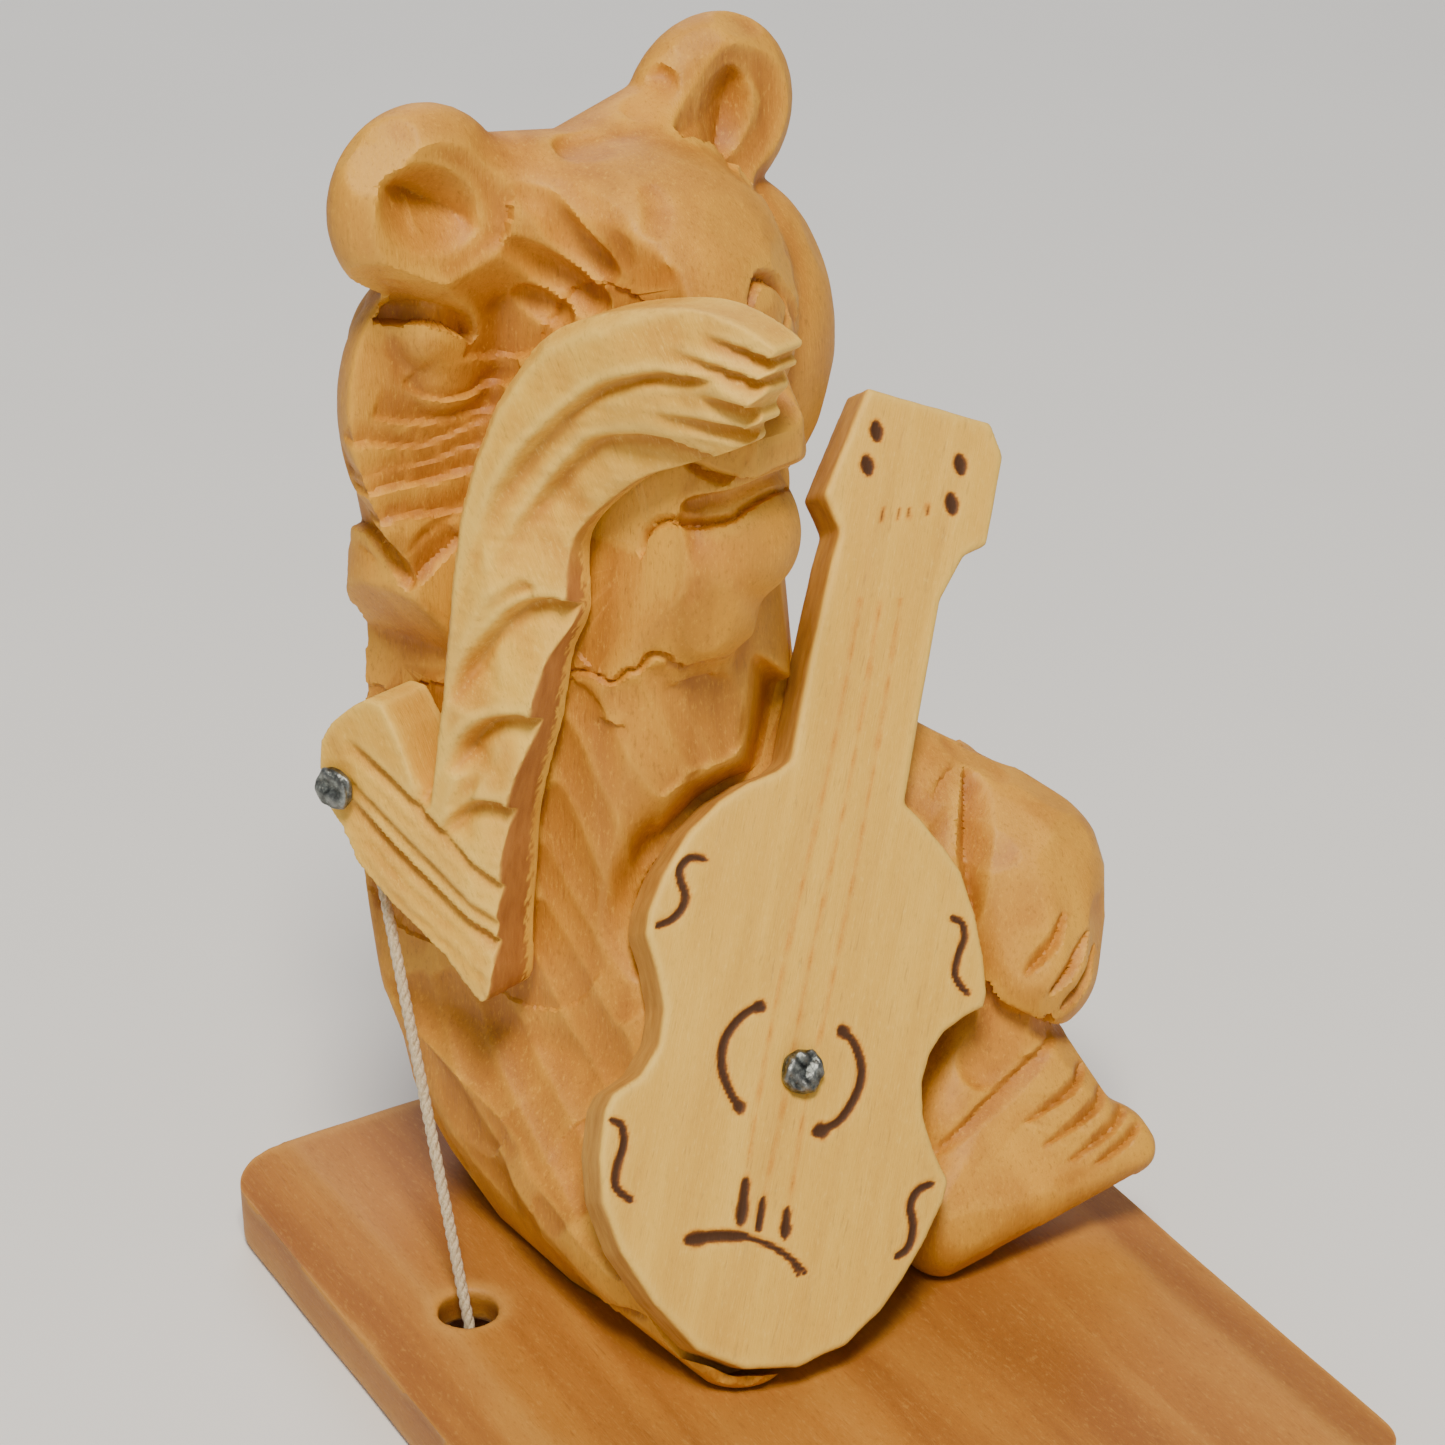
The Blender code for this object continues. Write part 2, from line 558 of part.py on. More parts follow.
def plate(name, outline, low, high, place):
    """Flat plate of the outline between two heights of its frame."""
    bm = bmesh.new()
    verts = [bm.verts.new((x, y, low)) for x, y in outline]
    face = bm.faces.new(verts)
    made = bmesh.ops.extrude_face_region(bm, geom=[face])
    moved = [g for g in made["geom"] if isinstance(g, bmesh.types.BMVert)]
    bmesh.ops.translate(bm, verts=moved, vec=(0, 0, high - low))
    return new_object(name, bm, place=place)


def grown(ring, gap):
    """Outline pushed outwards by the gap, whichever way it runs."""
    area = sum(a.x * b.y - b.x * a.y for a, b in zip(ring, ring[1:] + ring[:1]))
    way = math.copysign(1.0, area)
    wider = []
    for i, p in enumerate(ring):
        a = (p - ring[i - 1]).normalized()
        b = (ring[(i + 1) % len(ring)] - p).normalized()
        side = Vector((a.y + b.y, -a.x - b.x)) * way
        share = max(side.length / 2, 0.35)
        wider.append(p + side.normalized() * (gap / share))
    return wider


def make_arm():
    blank = plate("arm blank", arm_ring(), -ARM_THICKNESS, 0, Matrix.Identity(4))
    fuse = blank.modifiers.new("fuse", "REMESH")
    fuse.mode = "VOXEL"
    fuse.voxel_size = ARM_VOXEL
    mesh = evaluated_mesh(blank)
    bpy.data.objects.remove(blank, do_unlink=True)
    points = np.empty(len(mesh.vertices) * 3)
    mesh.vertices.foreach_get("co", points)
    points = points.reshape(-1, 3)
    share = arm_height(points[:, :2] / UNIT)
    points[:, 2] = -ARM_THICKNESS + (points[:, 2] + ARM_THICKNESS) * share
    mesh.vertices.foreach_set("co", points.ravel())
    mesh.shade_smooth()
    arm = mesh_object("right_arm", mesh, material("arm wood", (0.83, 0.62, 0.28)), arm_frame())
    thinned(arm, ARM_TRIANGLES)
    cut_with(arm, pin("arm bore", NAIL_SHANK / 2 + FIT_GAP, ARM_THICKNESS, -2 * ARM_THICKNESS, arm_frame()))
    cut_with(arm, string_bore())
    return arm


def violin_ring():
    """Half-outline of the violin as shares of its length, mirrored."""
    half = [(0.0, -0.298), (0.050, -0.290), (0.100, -0.262), (0.145, -0.214), (0.175, -0.155),
            (0.193, -0.086),
            (0.168, -0.064), (0.151, -0.034), (0.146, -0.002), (0.149, 0.030), (0.162, 0.062), (0.189, 0.106),
            (0.184, 0.160), (0.162, 0.212), (0.122, 0.252), (0.082, 0.274), (0.069, 0.290), (0.058, 0.541),
            (0.095, 0.573), (0.100, 0.640), (0.071, 0.702)]
    points = [Vector((x, y)) * VIOLIN_LENGTH for x, y in half]
    return points + [Vector((-p.x, p.y)) for p in reversed(points[1:])]


def make_violin():
    violin = plate("violin", violin_ring(), -VIOLIN_THICKNESS, 0, violin_frame())
    violin.data.materials.append(material("violin wood", (0.84, 0.63, 0.30)))
    rounded = violin.modifiers.new("broken edges", "BEVEL")
    rounded.width = EDGE_BREAK
    rounded.segments = 1
    rounded.limit_method = "ANGLE"
    rounded.angle_limit = math.radians(50)
    cut_with(violin, pin("violin bore", NAIL_SHANK / 2 + FIT_GAP, VIOLIN_THICKNESS, -2 * VIOLIN_THICKNESS,
                         violin_frame()))
    return violin


def make_nail(name, seat, thickness, place):
    """Nail with a flat hammered head; seat is the height of the face under the head."""
    low = seat + FIT_GAP
    point = -thickness - NAIL_IN_BODY
    profile = [(0, low + NAIL_HEAD_THICKNESS), (NAIL_HEAD * 0.32, low + NAIL_HEAD_THICKNESS),
               (NAIL_HEAD / 2, low + NAIL_HEAD_THICKNESS * 0.55), (NAIL_HEAD * 0.47, low),
               (NAIL_SHANK / 2, low), (NAIL_SHANK / 2, point + NAIL_SHANK), (0, point)]
    bm = bmesh.new()
    verts = [bm.verts.new((x, 0, z)) for x, z in profile]
    edges = [bm.edges.new(pair) for pair in zip(verts, verts[1:])]
    bmesh.ops.spin(bm, geom=verts + edges, cent=(0, 0, 0), axis=(0, 0, 1), angle=2 * math.pi,
                   steps=BORE_SIDES, use_merge=True)
    bmesh.ops.remove_doubles(bm, verts=bm.verts, dist=1e-6)
    nail = new_object(name, bm, material("steel", (0.42, 0.43, 0.42), 0.45, 1.0), place)
    nail.data.shade_smooth()
    nail.data.set_sharp_from_angle(angle=math.radians(40))
    return nail


def rounded_rectangle(width, length, corner, steps=6):
    ring = []
    for sx, sy, start in ((1, 1, 0), (-1, 1, 90), (-1, -1, 180), (1, -1, 270)):
        for i in range(steps + 1):
            angle = math.radians(start + 90 * i / steps)
            ring.append((sx * (width / 2 - corner) + corner * math.cos(angle),
                         sy * (length / 2 - corner) + corner * math.sin(angle)))
    return ring


def make_board():
    ring = rounded_rectangle(BOARD_WIDTH, BOARD_LENGTH, BOARD_CORNER)
    board = plate("base_board", ring, 0, BOARD_THICKNESS, Matrix.Identity(4))
    board.data.materials.append(material("board wood", (0.70, 0.40, 0.16)))
    for side in (-1, 1):
        slope = math.atan2(PLANED_EDGE_DEPTH, PLANED_EDGE_WIDTH)
        edge = Matrix.Translation((side * (BOARD_WIDTH / 2 - PLANED_EDGE_WIDTH), 0, BOARD_THICKNESS))
        place = edge @ Matrix.Rotation(side * slope, 4, "Y")
        reach = BOARD_LENGTH
        low, high = (0, reach) if side > 0 else (-reach, 0)
        cut_with(board, box(f"planed edge {side}", (low, -reach, 0), (high, reach, reach), place))
    hole = Matrix.Translation((*string_hole_place(), 0))
    cut_with(board, pin("string hole", STRING_HOLE / 2, 2 * BOARD_THICKNESS, -BOARD_THICKNESS, hole, 24))
    cut_with(board, pin("knot recess", KNOT_RECESS / 2, KNOT_RECESS_DEPTH, -BOARD_THICKNESS, hole, 24))
    return board


def string_hole_place():
    return -BOARD_WIDTH / 2 + STRING_HOLE_FROM_SIDE, STRING_HOLE_FROM_MIDDLE


# The string runs from the arm's lower edge, in units of the arm's frame, to its knot under the board
STRING_START = Vector((2.0, -5.6, -3.4))


def string_ends():
    top = arm_frame() @ (STRING_START * UNIT)
    x, y = string_hole_place()
    lowest = KNOT_RECESS_DEPTH - FIT_GAP
    middle = (BOARD_THICKNESS + KNOT_RECESS_DEPTH) / 2
    run = (Vector((x, y, middle)) - top).normalized()
    foot = top + run * ((lowest - top.z) / run.z)
    return top, foot, run


def string_bore():
    top, _, run = string_ends()
    place = Matrix.Translation(top) @ (-run).to_track_quat("Z", "Y").to_matrix().to_4x4()
    return pin("string bore", STRING_DIAMETER / 2 + FIT_GAP, STRING_IN_ARM + FIT_GAP, -2 * STRING_IN_ARM,
               place, 12)


def make_string():
    top, foot, run = string_ends()
    start = top - run * STRING_IN_ARM
    length = (foot - start).length
    count = round(length / (2.5 * STRING_DIAMETER))
    curve = bpy.data.curves.new("string", "CURVE")
    curve.dimensions = "3D"
    curve.bevel_depth = STRING_DIAMETER / 2
    curve.bevel_resolution = 2
    curve.use_fill_caps = True
    spline = curve.splines.new("POLY")
    spline.points.add(count)
    for i in range(count + 1):
        spline.points[i].co = (*start.lerp(foot, i / count), 1)
    string = bpy.data.objects.new("string", curve)
    bpy.context.scene.collection.objects.link(string)
    curve.materials.append(material("cotton", (0.86, 0.83, 0.76), 0.9))
    return string


def make_knot():
    _, foot, _ = string_ends()
    bm = bmesh.new()
    bmesh.ops.create_uvsphere(bm, u_segments=16, v_segments=8, radius=0.5)
    bmesh.ops.scale(bm, vec=(KNOT_WIDTH, KNOT_WIDTH, KNOT_HEIGHT), verts=bm.verts)
    x, y = string_hole_place()
    place = Matrix.Translation((x, y, KNOT_RECESS_DEPTH - 2 * FIT_GAP - KNOT_HEIGHT / 2))
    knot = new_object("string_knot", bm, material("knot cotton", (0.86, 0.83, 0.76), 0.9), place)
    knot.data.shade_smooth()
    return knot


def main():
    clear_scene()
    make_board()
    make_bear()
    make_arm()
    make_violin()
    make_nail("arm_nail", 0, ARM_THICKNESS + SWING_GAP, arm_frame())
    make_nail("violin_nail", 0, VIOLIN_THICKNESS + FIT_GAP, violin_frame())
    make_string()
    make_knot()


main()
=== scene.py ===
import math

import bmesh
import bpy
import numpy as np
from mathutils import Matrix, Vector
from mathutils.bvhtree import BVHTree


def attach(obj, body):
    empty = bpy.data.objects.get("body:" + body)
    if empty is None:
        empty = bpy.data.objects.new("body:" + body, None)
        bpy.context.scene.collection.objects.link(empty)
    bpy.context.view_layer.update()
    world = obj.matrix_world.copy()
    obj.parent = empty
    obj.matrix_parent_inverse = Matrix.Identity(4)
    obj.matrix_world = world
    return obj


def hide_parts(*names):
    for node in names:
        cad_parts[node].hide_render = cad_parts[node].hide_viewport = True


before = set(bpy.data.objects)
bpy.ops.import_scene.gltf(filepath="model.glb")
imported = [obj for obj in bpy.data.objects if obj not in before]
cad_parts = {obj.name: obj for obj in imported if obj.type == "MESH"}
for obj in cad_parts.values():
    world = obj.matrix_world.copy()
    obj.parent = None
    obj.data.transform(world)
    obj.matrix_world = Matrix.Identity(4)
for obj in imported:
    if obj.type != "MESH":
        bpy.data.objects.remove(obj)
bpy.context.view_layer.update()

mm = 0.001  # the carving is drawn in millimetres in the bear's own frame

# Where each piece stands, as on the solids
places = {
    "boardSize": (80.0, 100.0, 9.0),
    "bearAt": (-1.2, 25.0, 9.3),
    "bearTurn": 8.6,
    "armNail": (-27.9, 14.9, 49.1),
    "armTurn": 17.4,
    "armLean": 8.0,
    "armThickness": 7.5,
    "armGap": 0.7,
    "violinNail": (-2.7, -26.0, 26.4),
    "violinTurn": -13.3,
    "violinLean": 31.8,
    "violinTilt": 26.3,
    "violinThickness": 6.0,
    "violinGap": 0.3,
    "stringHole": (-29.6, 13.5),
}

bearFrame = (Matrix.Translation(Vector(places["bearAt"]))
             @ Matrix.Rotation(math.radians(places["bearTurn"]), 4, "Z"))


inMetres = Matrix.Scale(mm, 4)


def plateFrame(origin, across, up):
    out = across.cross(up)
    turn = Matrix((across, up, out)).transposed().to_4x4()
    return bearFrame @ Matrix.Translation(Vector(origin)) @ turn


def makeArmFrame():  # x forwards, y up, z away from the bear
    turn, lean = math.radians(places["armTurn"]), math.radians(places["armLean"])
    forward = Vector((math.sin(turn), -math.cos(turn), 0))
    out = Vector((-math.cos(turn) * math.cos(lean), -math.sin(turn) * math.cos(lean), math.sin(lean)))
    return plateFrame(places["armNail"], forward, out.cross(forward))


def makeViolinFrame():  # x across, y towards the pegs, z out of the face
    turn = (Matrix.Rotation(math.radians(places["violinTurn"]), 3, "Z")
            @ Matrix.Rotation(math.radians(90 - places["violinLean"]), 3, "X")
            @ Matrix.Rotation(math.radians(-places["violinTilt"]), 3, "Z"))
    return plateFrame(places["violinNail"], turn.col[0], turn.col[1])


armFrame = makeArmFrame()
violinFrame = makeViolinFrame()

# Camera, at the photo's viewing angle
shot = {"at": (-0.1701, -0.2784, 0.2517), "azimuth": -30.2, "elevation": 28.6, "lens": 99.65}


def makeCamera():
    azimuth, elevation = math.radians(shot["azimuth"]), math.radians(shot["elevation"])
    back = Vector((math.sin(azimuth) * math.cos(elevation), -math.cos(azimuth) * math.cos(elevation),
                   math.sin(elevation)))
    right = Vector((math.cos(azimuth), math.sin(azimuth), 0))
    data = bpy.data.cameras.new("camera")
    data.lens = shot["lens"]
    data.sensor_width = 36
    data.clip_start = 0.01
    camera = bpy.data.objects.new("camera", data)
    bpy.context.scene.collection.objects.link(camera)
    turn = Matrix((right, back.cross(right), back)).transposed().to_4x4()
    camera.matrix_world = Matrix.Translation(Vector(shot["at"])) @ turn
    bpy.context.scene.camera = camera


makeCamera()


# Meshes

def meshFrom(bm, name, recalculate=True):
    if recalculate:
        bmesh.ops.recalc_face_normals(bm, faces=bm.faces)
    mesh = bpy.data.meshes.new(name)
    bm.to_mesh(mesh)
    bm.free()
    return mesh


def linked(name, data):
    thing = bpy.data.objects.new(name, data)
    bpy.context.scene.collection.objects.link(thing)
    return thing


def evaluated(thing, *tools):  # what the modifiers make as a plain mesh; the objects themselves go
    bpy.context.view_layer.update()
    graph = bpy.context.evaluated_depsgraph_get()
    mesh = bpy.data.meshes.new_from_object(thing.evaluated_get(graph))
    for spent in (*tools, thing):
        bpy.data.objects.remove(spent, do_unlink=True)
    return mesh


def remeshed(mesh, voxel, softening, name):
    thing = linked(name, mesh)
    fuse = thing.modifiers.new("fuse", "REMESH")
    fuse.mode = "VOXEL"
    fuse.voxel_size = voxel
    soften = thing.modifiers.new("soften", "SMOOTH")
    soften.iterations = softening
    return evaluated(thing)


def thinned(mesh, triangles, name):
    now = sum(len(p.vertices) - 2 for p in mesh.polygons)
    if now <= triangles:
        return mesh
    thing = linked(name, mesh)
    thin = thing.modifiers.new("thin", "DECIMATE")
    thin.ratio = triangles / now
    return evaluated(thing)


def cutAway(mesh, cutters, name):  # cutters are meshes in the same space
    thing = linked(name, mesh)
    tools = []
    for cutter in cutters:
        tool = linked("cutter", cutter)
        cut = thing.modifiers.new("cut", "BOOLEAN")
        cut.object = tool
        cut.operation = "DIFFERENCE"
        cut.solver = "EXACT"
        tools.append(tool)
    return evaluated(thing, *tools)


def pointsOf(mesh, what="co"):
    values = np.empty(len(mesh.vertices) * 3)
    mesh.vertices.foreach_get(what, values)
    return values.reshape(-1, 3)


def normalsOf(mesh):
    return pointsOf(mesh, "normal")


def edgesOf(mesh):  # the point numbers at both ends of each edge
    ends = np.empty(len(mesh.edges) * 2, dtype=np.int64)
    mesh.edges.foreach_get("vertices", ends)
    return ends[::2], ends[1::2]


def putPoints(mesh, points):
    mesh.vertices.foreach_set("co", np.ascontiguousarray(points).ravel())
    mesh.update()


def putValue(mesh, name, values):
    layer = mesh.attributes.new(name, "FLOAT", "POINT")
    layer.data.foreach_set("value", np.ascontiguousarray(values, dtype=np.float32))


def neighbourMean(mesh, values, rounds):
    a, b = edgesOf(mesh)
    count = np.bincount(a, minlength=len(values)) + np.bincount(b, minlength=len(values))
    count = np.maximum(count, 1)[:, None]
    for _ in range(rounds):
        total = np.zeros_like(values)
        for k in range(values.shape[1]):
            total[:, k] = (np.bincount(a, weights=values[b, k], minlength=len(values))
                           + np.bincount(b, weights=values[a, k], minlength=len(values)))
        values = total / count
    return values


def smoothed(mesh, reach, strength):  # hollows go to 1 in one mask, for the painted shade there; sharp ridges go to 1 in another, for pale wear and painted highlight
    points, normals = pointsOf(mesh), normalsOf(mesh)
    smooth = neighbourMean(mesh, points, reach)
    bend = ((smooth - points) * normals).sum(1)[:, None]
    bend = neighbourMean(mesh, bend, 2)[:, 0] * strength
    putValue(mesh, "hollow", np.clip(bend, 0, 1))
    putValue(mesh, "ridge", np.clip(-bend, 0, 1))
    mesh.shade_smooth()


def dressed(name, mesh, finish, slot, *nodes):
    thing = linked(name, mesh)
    mesh.materials.clear()
    mesh.materials.append(finish)
    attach(thing, "root")
    if nodes:
        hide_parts(*nodes)
    return thing


def wave(points, size, seed):  # smooth noise from a few sines, the same each run
    rng = np.random.default_rng(seed)
    total = np.zeros(len(points))
    for _ in range(10):
        way = rng.normal(size=3)
        way /= np.linalg.norm(way)
        total += np.sin(points @ way * (2 * math.pi / (size * rng.uniform(0.6, 1.6))) + rng.uniform(0, 6.28))
    return total / 3.2


# Shader expressions

class Wire:
    def __init__(self, tree, socket):
        self.tree = tree
        self.socket = socket

    def worked(self, operation, other, turned=False):
        node = self.tree.nodes.new("ShaderNodeMath")
        node.operation = operation
        for slot, value in zip(node.inputs, (other, self) if turned else (self, other)):
            if isinstance(value, Wire):
                self.tree.links.new(value.socket, slot)
            else:
                slot.default_value = value
        return Wire(self.tree, node.outputs[0])

    def __add__(self, other):
        return self.worked("ADD", other)

    def __mul__(self, other):
        return self.worked("MULTIPLY", other)

    def __sub__(self, other):
        return self.worked("SUBTRACT", other)

    def __rsub__(self, other):
        return self.worked("SUBTRACT", other, turned=True)

    def __pow__(self, other):
        return self.worked("POWER", other)

    def clipped(self):
        return self.worked("MAXIMUM", 0.0).worked("MINIMUM", 1.0)


class Finish:
    def __init__(self, name):
        self.material = bpy.data.materials.new(name)
        self.material.use_nodes = True
        self.tree = self.material.node_tree
        self.shader = self.tree.nodes["Principled BSDF"]

    def add(self, kind, settings=None, output=0, **sockets):
        node = self.tree.nodes.new(kind)
        for key, value in (settings or {}).items():
            if key == "stops":
                ramp = node.color_ramp
                while len(ramp.elements) < len(value):
                    ramp.elements.new(0.5)
                for element, (at, shade) in zip(ramp.elements, value):
                    element.position = at
                    element.color = colour(*shade)
            else:
                setattr(node, key, value)
        for key, value in sockets.items():
            self.put(node, key, value)
        outputs = [o for o in node.outputs if o.enabled]
        return Wire(self.tree, outputs[output])

    def put(self, node, key, value):
        wanted = key.replace("_", " ").lower()
        slot = next(s for s in node.inputs if s.enabled and s.name.lower() == wanted)
        if isinstance(value, Wire):
            self.tree.links.new(value.socket, slot)
        else:
            slot.default_value = value

    def set(self, **sockets):
        for key, value in sockets.items():
            self.put(self.shader, key, value)

    def place(self, turn=(0, 0, 0), stretch=(1, 1, 1)):  # object space in millimetres, turned to the grain
        spot = self.add("ShaderNodeTexCoord", output=3)
        turned = self.add("ShaderNodeMapping", {"vector_type": "TEXTURE"}, Vector=spot, Rotation=turn)
        return self.add("ShaderNodeMapping", {"vector_type": "POINT"}, Vector=turned,
                        Scale=tuple(1000 * s for s in stretch))

    def noise(self, place, scale, detail=3.0, roughness=0.55, distortion=0.0):
        return self.add("ShaderNodeTexNoise", Vector=place, Scale=scale, Detail=detail, Roughness=roughness,
                        Distortion=distortion)

    def ramp(self, factor, *stops):
        return self.add("ShaderNodeValToRGB", {"stops": stops}, Fac=factor)

    def step(self, value, low, high):  # 0 at low, 1 at high
        return self.add("ShaderNodeMapRange", Value=value, From_Min=low, From_Max=high)

    def mixed(self, factor, first, second, way="MIX"):
        return self.add("ShaderNodeMix", {"data_type": "RGBA", "blend_type": way}, Factor=factor, A=first,
                        B=second)

    def value(self, name):
        return self.add("ShaderNodeAttribute", {"attribute_name": name}, output=2)

    def bumped(self, height, distance):
        self.set(Normal=self.add("ShaderNodeBump", Height=height, Distance=distance, Strength=1.0))


def colour(*rgb):
    return (*rgb, 1.0)


# Lime wood under thin oil: pale growth bands, short fibre flecks, hollows darkened as painted shade, ridges
# paler for worn fibres and painted highlight
def woodFinish(name, look, turn=(0, 0, 0), burnt=False, sawn=False):
    made = Finish(name)
    along = made.place(turn, (1, 0.07, 1))
    bands = made.noise(along, look["bandScale"], 2.0, 0.5, 0.6)
    flecks = made.noise(made.place(turn, (1, 0.10, 1)), 2.6, 3.0, 0.6)
    fibres = made.noise(made.place(turn, (1, 0.045, 1)), 6.0, 2.0, 0.6)
    patches = made.noise(made.place(turn), 0.06, 2.0, 0.5)
    tone = made.ramp(bands, (0.30, look["dark"]), (0.50, look["middle"]), (0.72, look["light"]))
    tone = made.mixed((patches - 0.42).clipped() * look["patchy"], tone, colour(*look["patch"]))
    dashes = made.step(flecks, 0.38, 0.31)
    tone = made.mixed(dashes * look["flecks"], tone, colour(*look["fleck"]))
    shine = made.step(fibres, 0.58, 0.72)
    tone = made.mixed(shine * 0.16, tone, colour(*look["pale"]))
    hollow = made.value("hollow")
    ridge = made.value("ridge")
    # painted shade: the hollows darkened by the curvature mask
    tone = made.mixed((hollow * look["hollowShadeDepth"]).clipped(), tone, colour(*look["hollow"]), "MULTIPLY")
    # paler ridges: worn, torn fibres and a painted highlight on the edges
    tone = made.mixed((ridge * look["ridgeWearAndHighlightStrength"]).clipped(), tone, colour(*look["pale"]))
    speckle = made.noise(made.place(turn, (1, 0.4, 1)), 2.6, 3.0, 0.7)
    tone = made.mixed(made.step(speckle, 0.56, 0.70) * look["speckle"], tone, colour(*look["pale"]))
    tone = made.mixed(made.step(speckle, 0.44, 0.30) * look["speckle"], tone, colour(*look["fleck"]))
    rough = fibres * 0.16 + look["roughness"]
    height = fibres * 0.4 + flecks * 0.3 + speckle * 0.3
    # sawn faces painted darker: their saw-cut surface and painted shade on the sides turned from the light
    if sawn:
        cut = made.value("sawn")
        saw = made.noise(made.place(turn, (0.3, 0.3, 1)), 0.9, 3.0, 0.6)
        sawnAndShadedTone = made.ramp(saw, (0.35, look["sawnAndShadedDark"]), (0.65, look["sawnAndShadedLight"]))
        tone = made.mixed(cut, tone, sawnAndShadedTone)
        rough = rough + cut * 0.12
    if burnt:
        burn = made.value("burn")
        ragged = (burn + (made.noise(made.place(turn), 3.4, 3.0,
                                     0.7) - 0.5) * 0.55 * (burn ** 0.4)).clipped()
        scorch = made.ramp(ragged, (0.0, (1.0, 1.0, 1.0)), (0.20, (0.90, 0.70, 0.42)),
                           (0.45, (0.26, 0.14, 0.06)), (0.80, (0.085, 0.048, 0.026)))
        tone = made.mixed(1.0, tone, scorch, "MULTIPLY")
        rough = rough + burn * 0.15
    made.set(Base_Color=tone, Roughness=rough)
    made.set(Specular_IOR_Level=0.42, Coat_Roughness=0.35, Coat_Weight=look["coat"])
    made.bumped(height, look["bump"] * mm)
    return made.material


# Board
boardLook = {
    "voxel": 0.55, "triangles": 90000, "corner": 5.0, "planedWidth": 7.5, "planedDepth": 2.0, "worn": 0.7,
    "hole": 6.0, "recess": 10.0, "recessDepth": 5.0,
    # hollow colours: painted shade in the hollows; ridge light: pale worn fibres and painted highlight
    "wood": {"bandScale": 0.16, "dark": (0.30, 0.100, 0.010), "middle": (0.40, 0.150, 0.016),
             "light": (0.50, 0.215, 0.028), "patchy": 1.6, "patch": (0.31, 0.105, 0.011), "flecks": 0.30,
             "fleck": (0.20, 0.062, 0.007), "pale": (0.60, 0.30, 0.055), "hollowShadeDepth": 0.6,
             "hollow": (0.52, 0.33, 0.17), "ridgeWearAndHighlightStrength": 0.5, "roughness": 0.52, "coat": 0.05,
             "bump": 0.10, "speckle": 0.30},
}


def plateMesh(outline, low, high, name, place=Matrix.Identity(4)):  # outline in millimetres
    bm = bmesh.new()
    verts = [bm.verts.new((x, y, low)) for x, y in outline]
    face = bm.faces.new(verts)
    made = bmesh.ops.extrude_face_region(bm, geom=[face])
    top = [g for g in made["geom"] if isinstance(g, bmesh.types.BMVert)]
    bmesh.ops.translate(bm, verts=top, vec=(0, 0, high - low))
    bmesh.ops.transform(bm, matrix=place, verts=bm.verts)
    return meshFrom(bm, name)


def pinMesh(radius, low, high, x, y, sides=40):
    bm = bmesh.new()
    bmesh.ops.create_cone(bm, cap_ends=True, segments=sides, radius1=radius, radius2=radius, depth=high - low)
    bmesh.ops.translate(bm, verts=bm.verts, vec=(x, y, (high + low) / 2))
    return meshFrom(bm, "cutter")


def roundedRectangle(width, length, corner, steps=8):
    ring = []
    for sx, sy, start in ((1, 1, 0), (-1, 1, 90), (-1, -1, 180), (1, -1, 270)):
        for i in range(steps + 1):
            angle = math.radians(start + 90 * i / steps)
            ring.append((sx * (width / 2 - corner) + corner * math.cos(angle),
                         sy * (length / 2 - corner) + corner * math.sin(angle)))
    return ring


def boardHeight(x, y):  # planed long edges, with the plane's long waver
    width = places["boardSize"][0] / 2
    inner = width - boardLook["planedWidth"] + 0.35 * math.sin(y * 0.11 + (0.6 if x > 0 else 2.2))
    slope = boardLook["planedDepth"] / boardLook["planedWidth"]
    return places["boardSize"][2] - max(0.0, abs(x) - inner) * slope


def makeBoard():
    width, length, thick = places["boardSize"]
    ring = roundedRectangle(width, length, boardLook["corner"])
    blank = plateMesh(ring, 0.0, thick, "board")
    bm = bmesh.new()
    bm.from_mesh(blank)
    rim = [e for e in bm.edges if abs(e.verts[0].co.z - e.verts[1].co.z) < 0.01]
    bmesh.ops.bevel(bm, geom=rim, offset=boardLook["worn"], segments=3, profile=0.5, affect="EDGES")
    hole = pinMesh(boardLook["hole"] / 2, -1, thick + 1, *places["stringHole"])
    recess = pinMesh(boardLook["recess"] / 2, -1, boardLook["recessDepth"], *places["stringHole"])
    solid = cutAway(meshFrom(bm, "board"), [hole, recess], "board")
    mesh = remeshed(solid, boardLook["voxel"], 1, "board")
    points = pointsOf(mesh)
    top = points[:, 2] > thick / 2
    level = np.array([boardHeight(x, y) for x, y in points[top, :2]])
    points[top, 2] = np.minimum(points[top, 2], level)
    normals = normalsOf(mesh)
    points -= normals * (0.05 + 0.05 * wave(points * (1, 0.25, 1), 7.0, 3))[:, None]
    points[:, 2] = np.clip(points[:, 2], 0, thick)
    putPoints(mesh, points * mm)
    mesh = thinned(mesh, boardLook["triangles"], "board")
    smoothed(mesh, 6, 9000)
    return dressed("boardPiece", mesh, woodFinish("boardWood", boardLook["wood"]), "board", "base_board")


makeBoard()
print("board made")

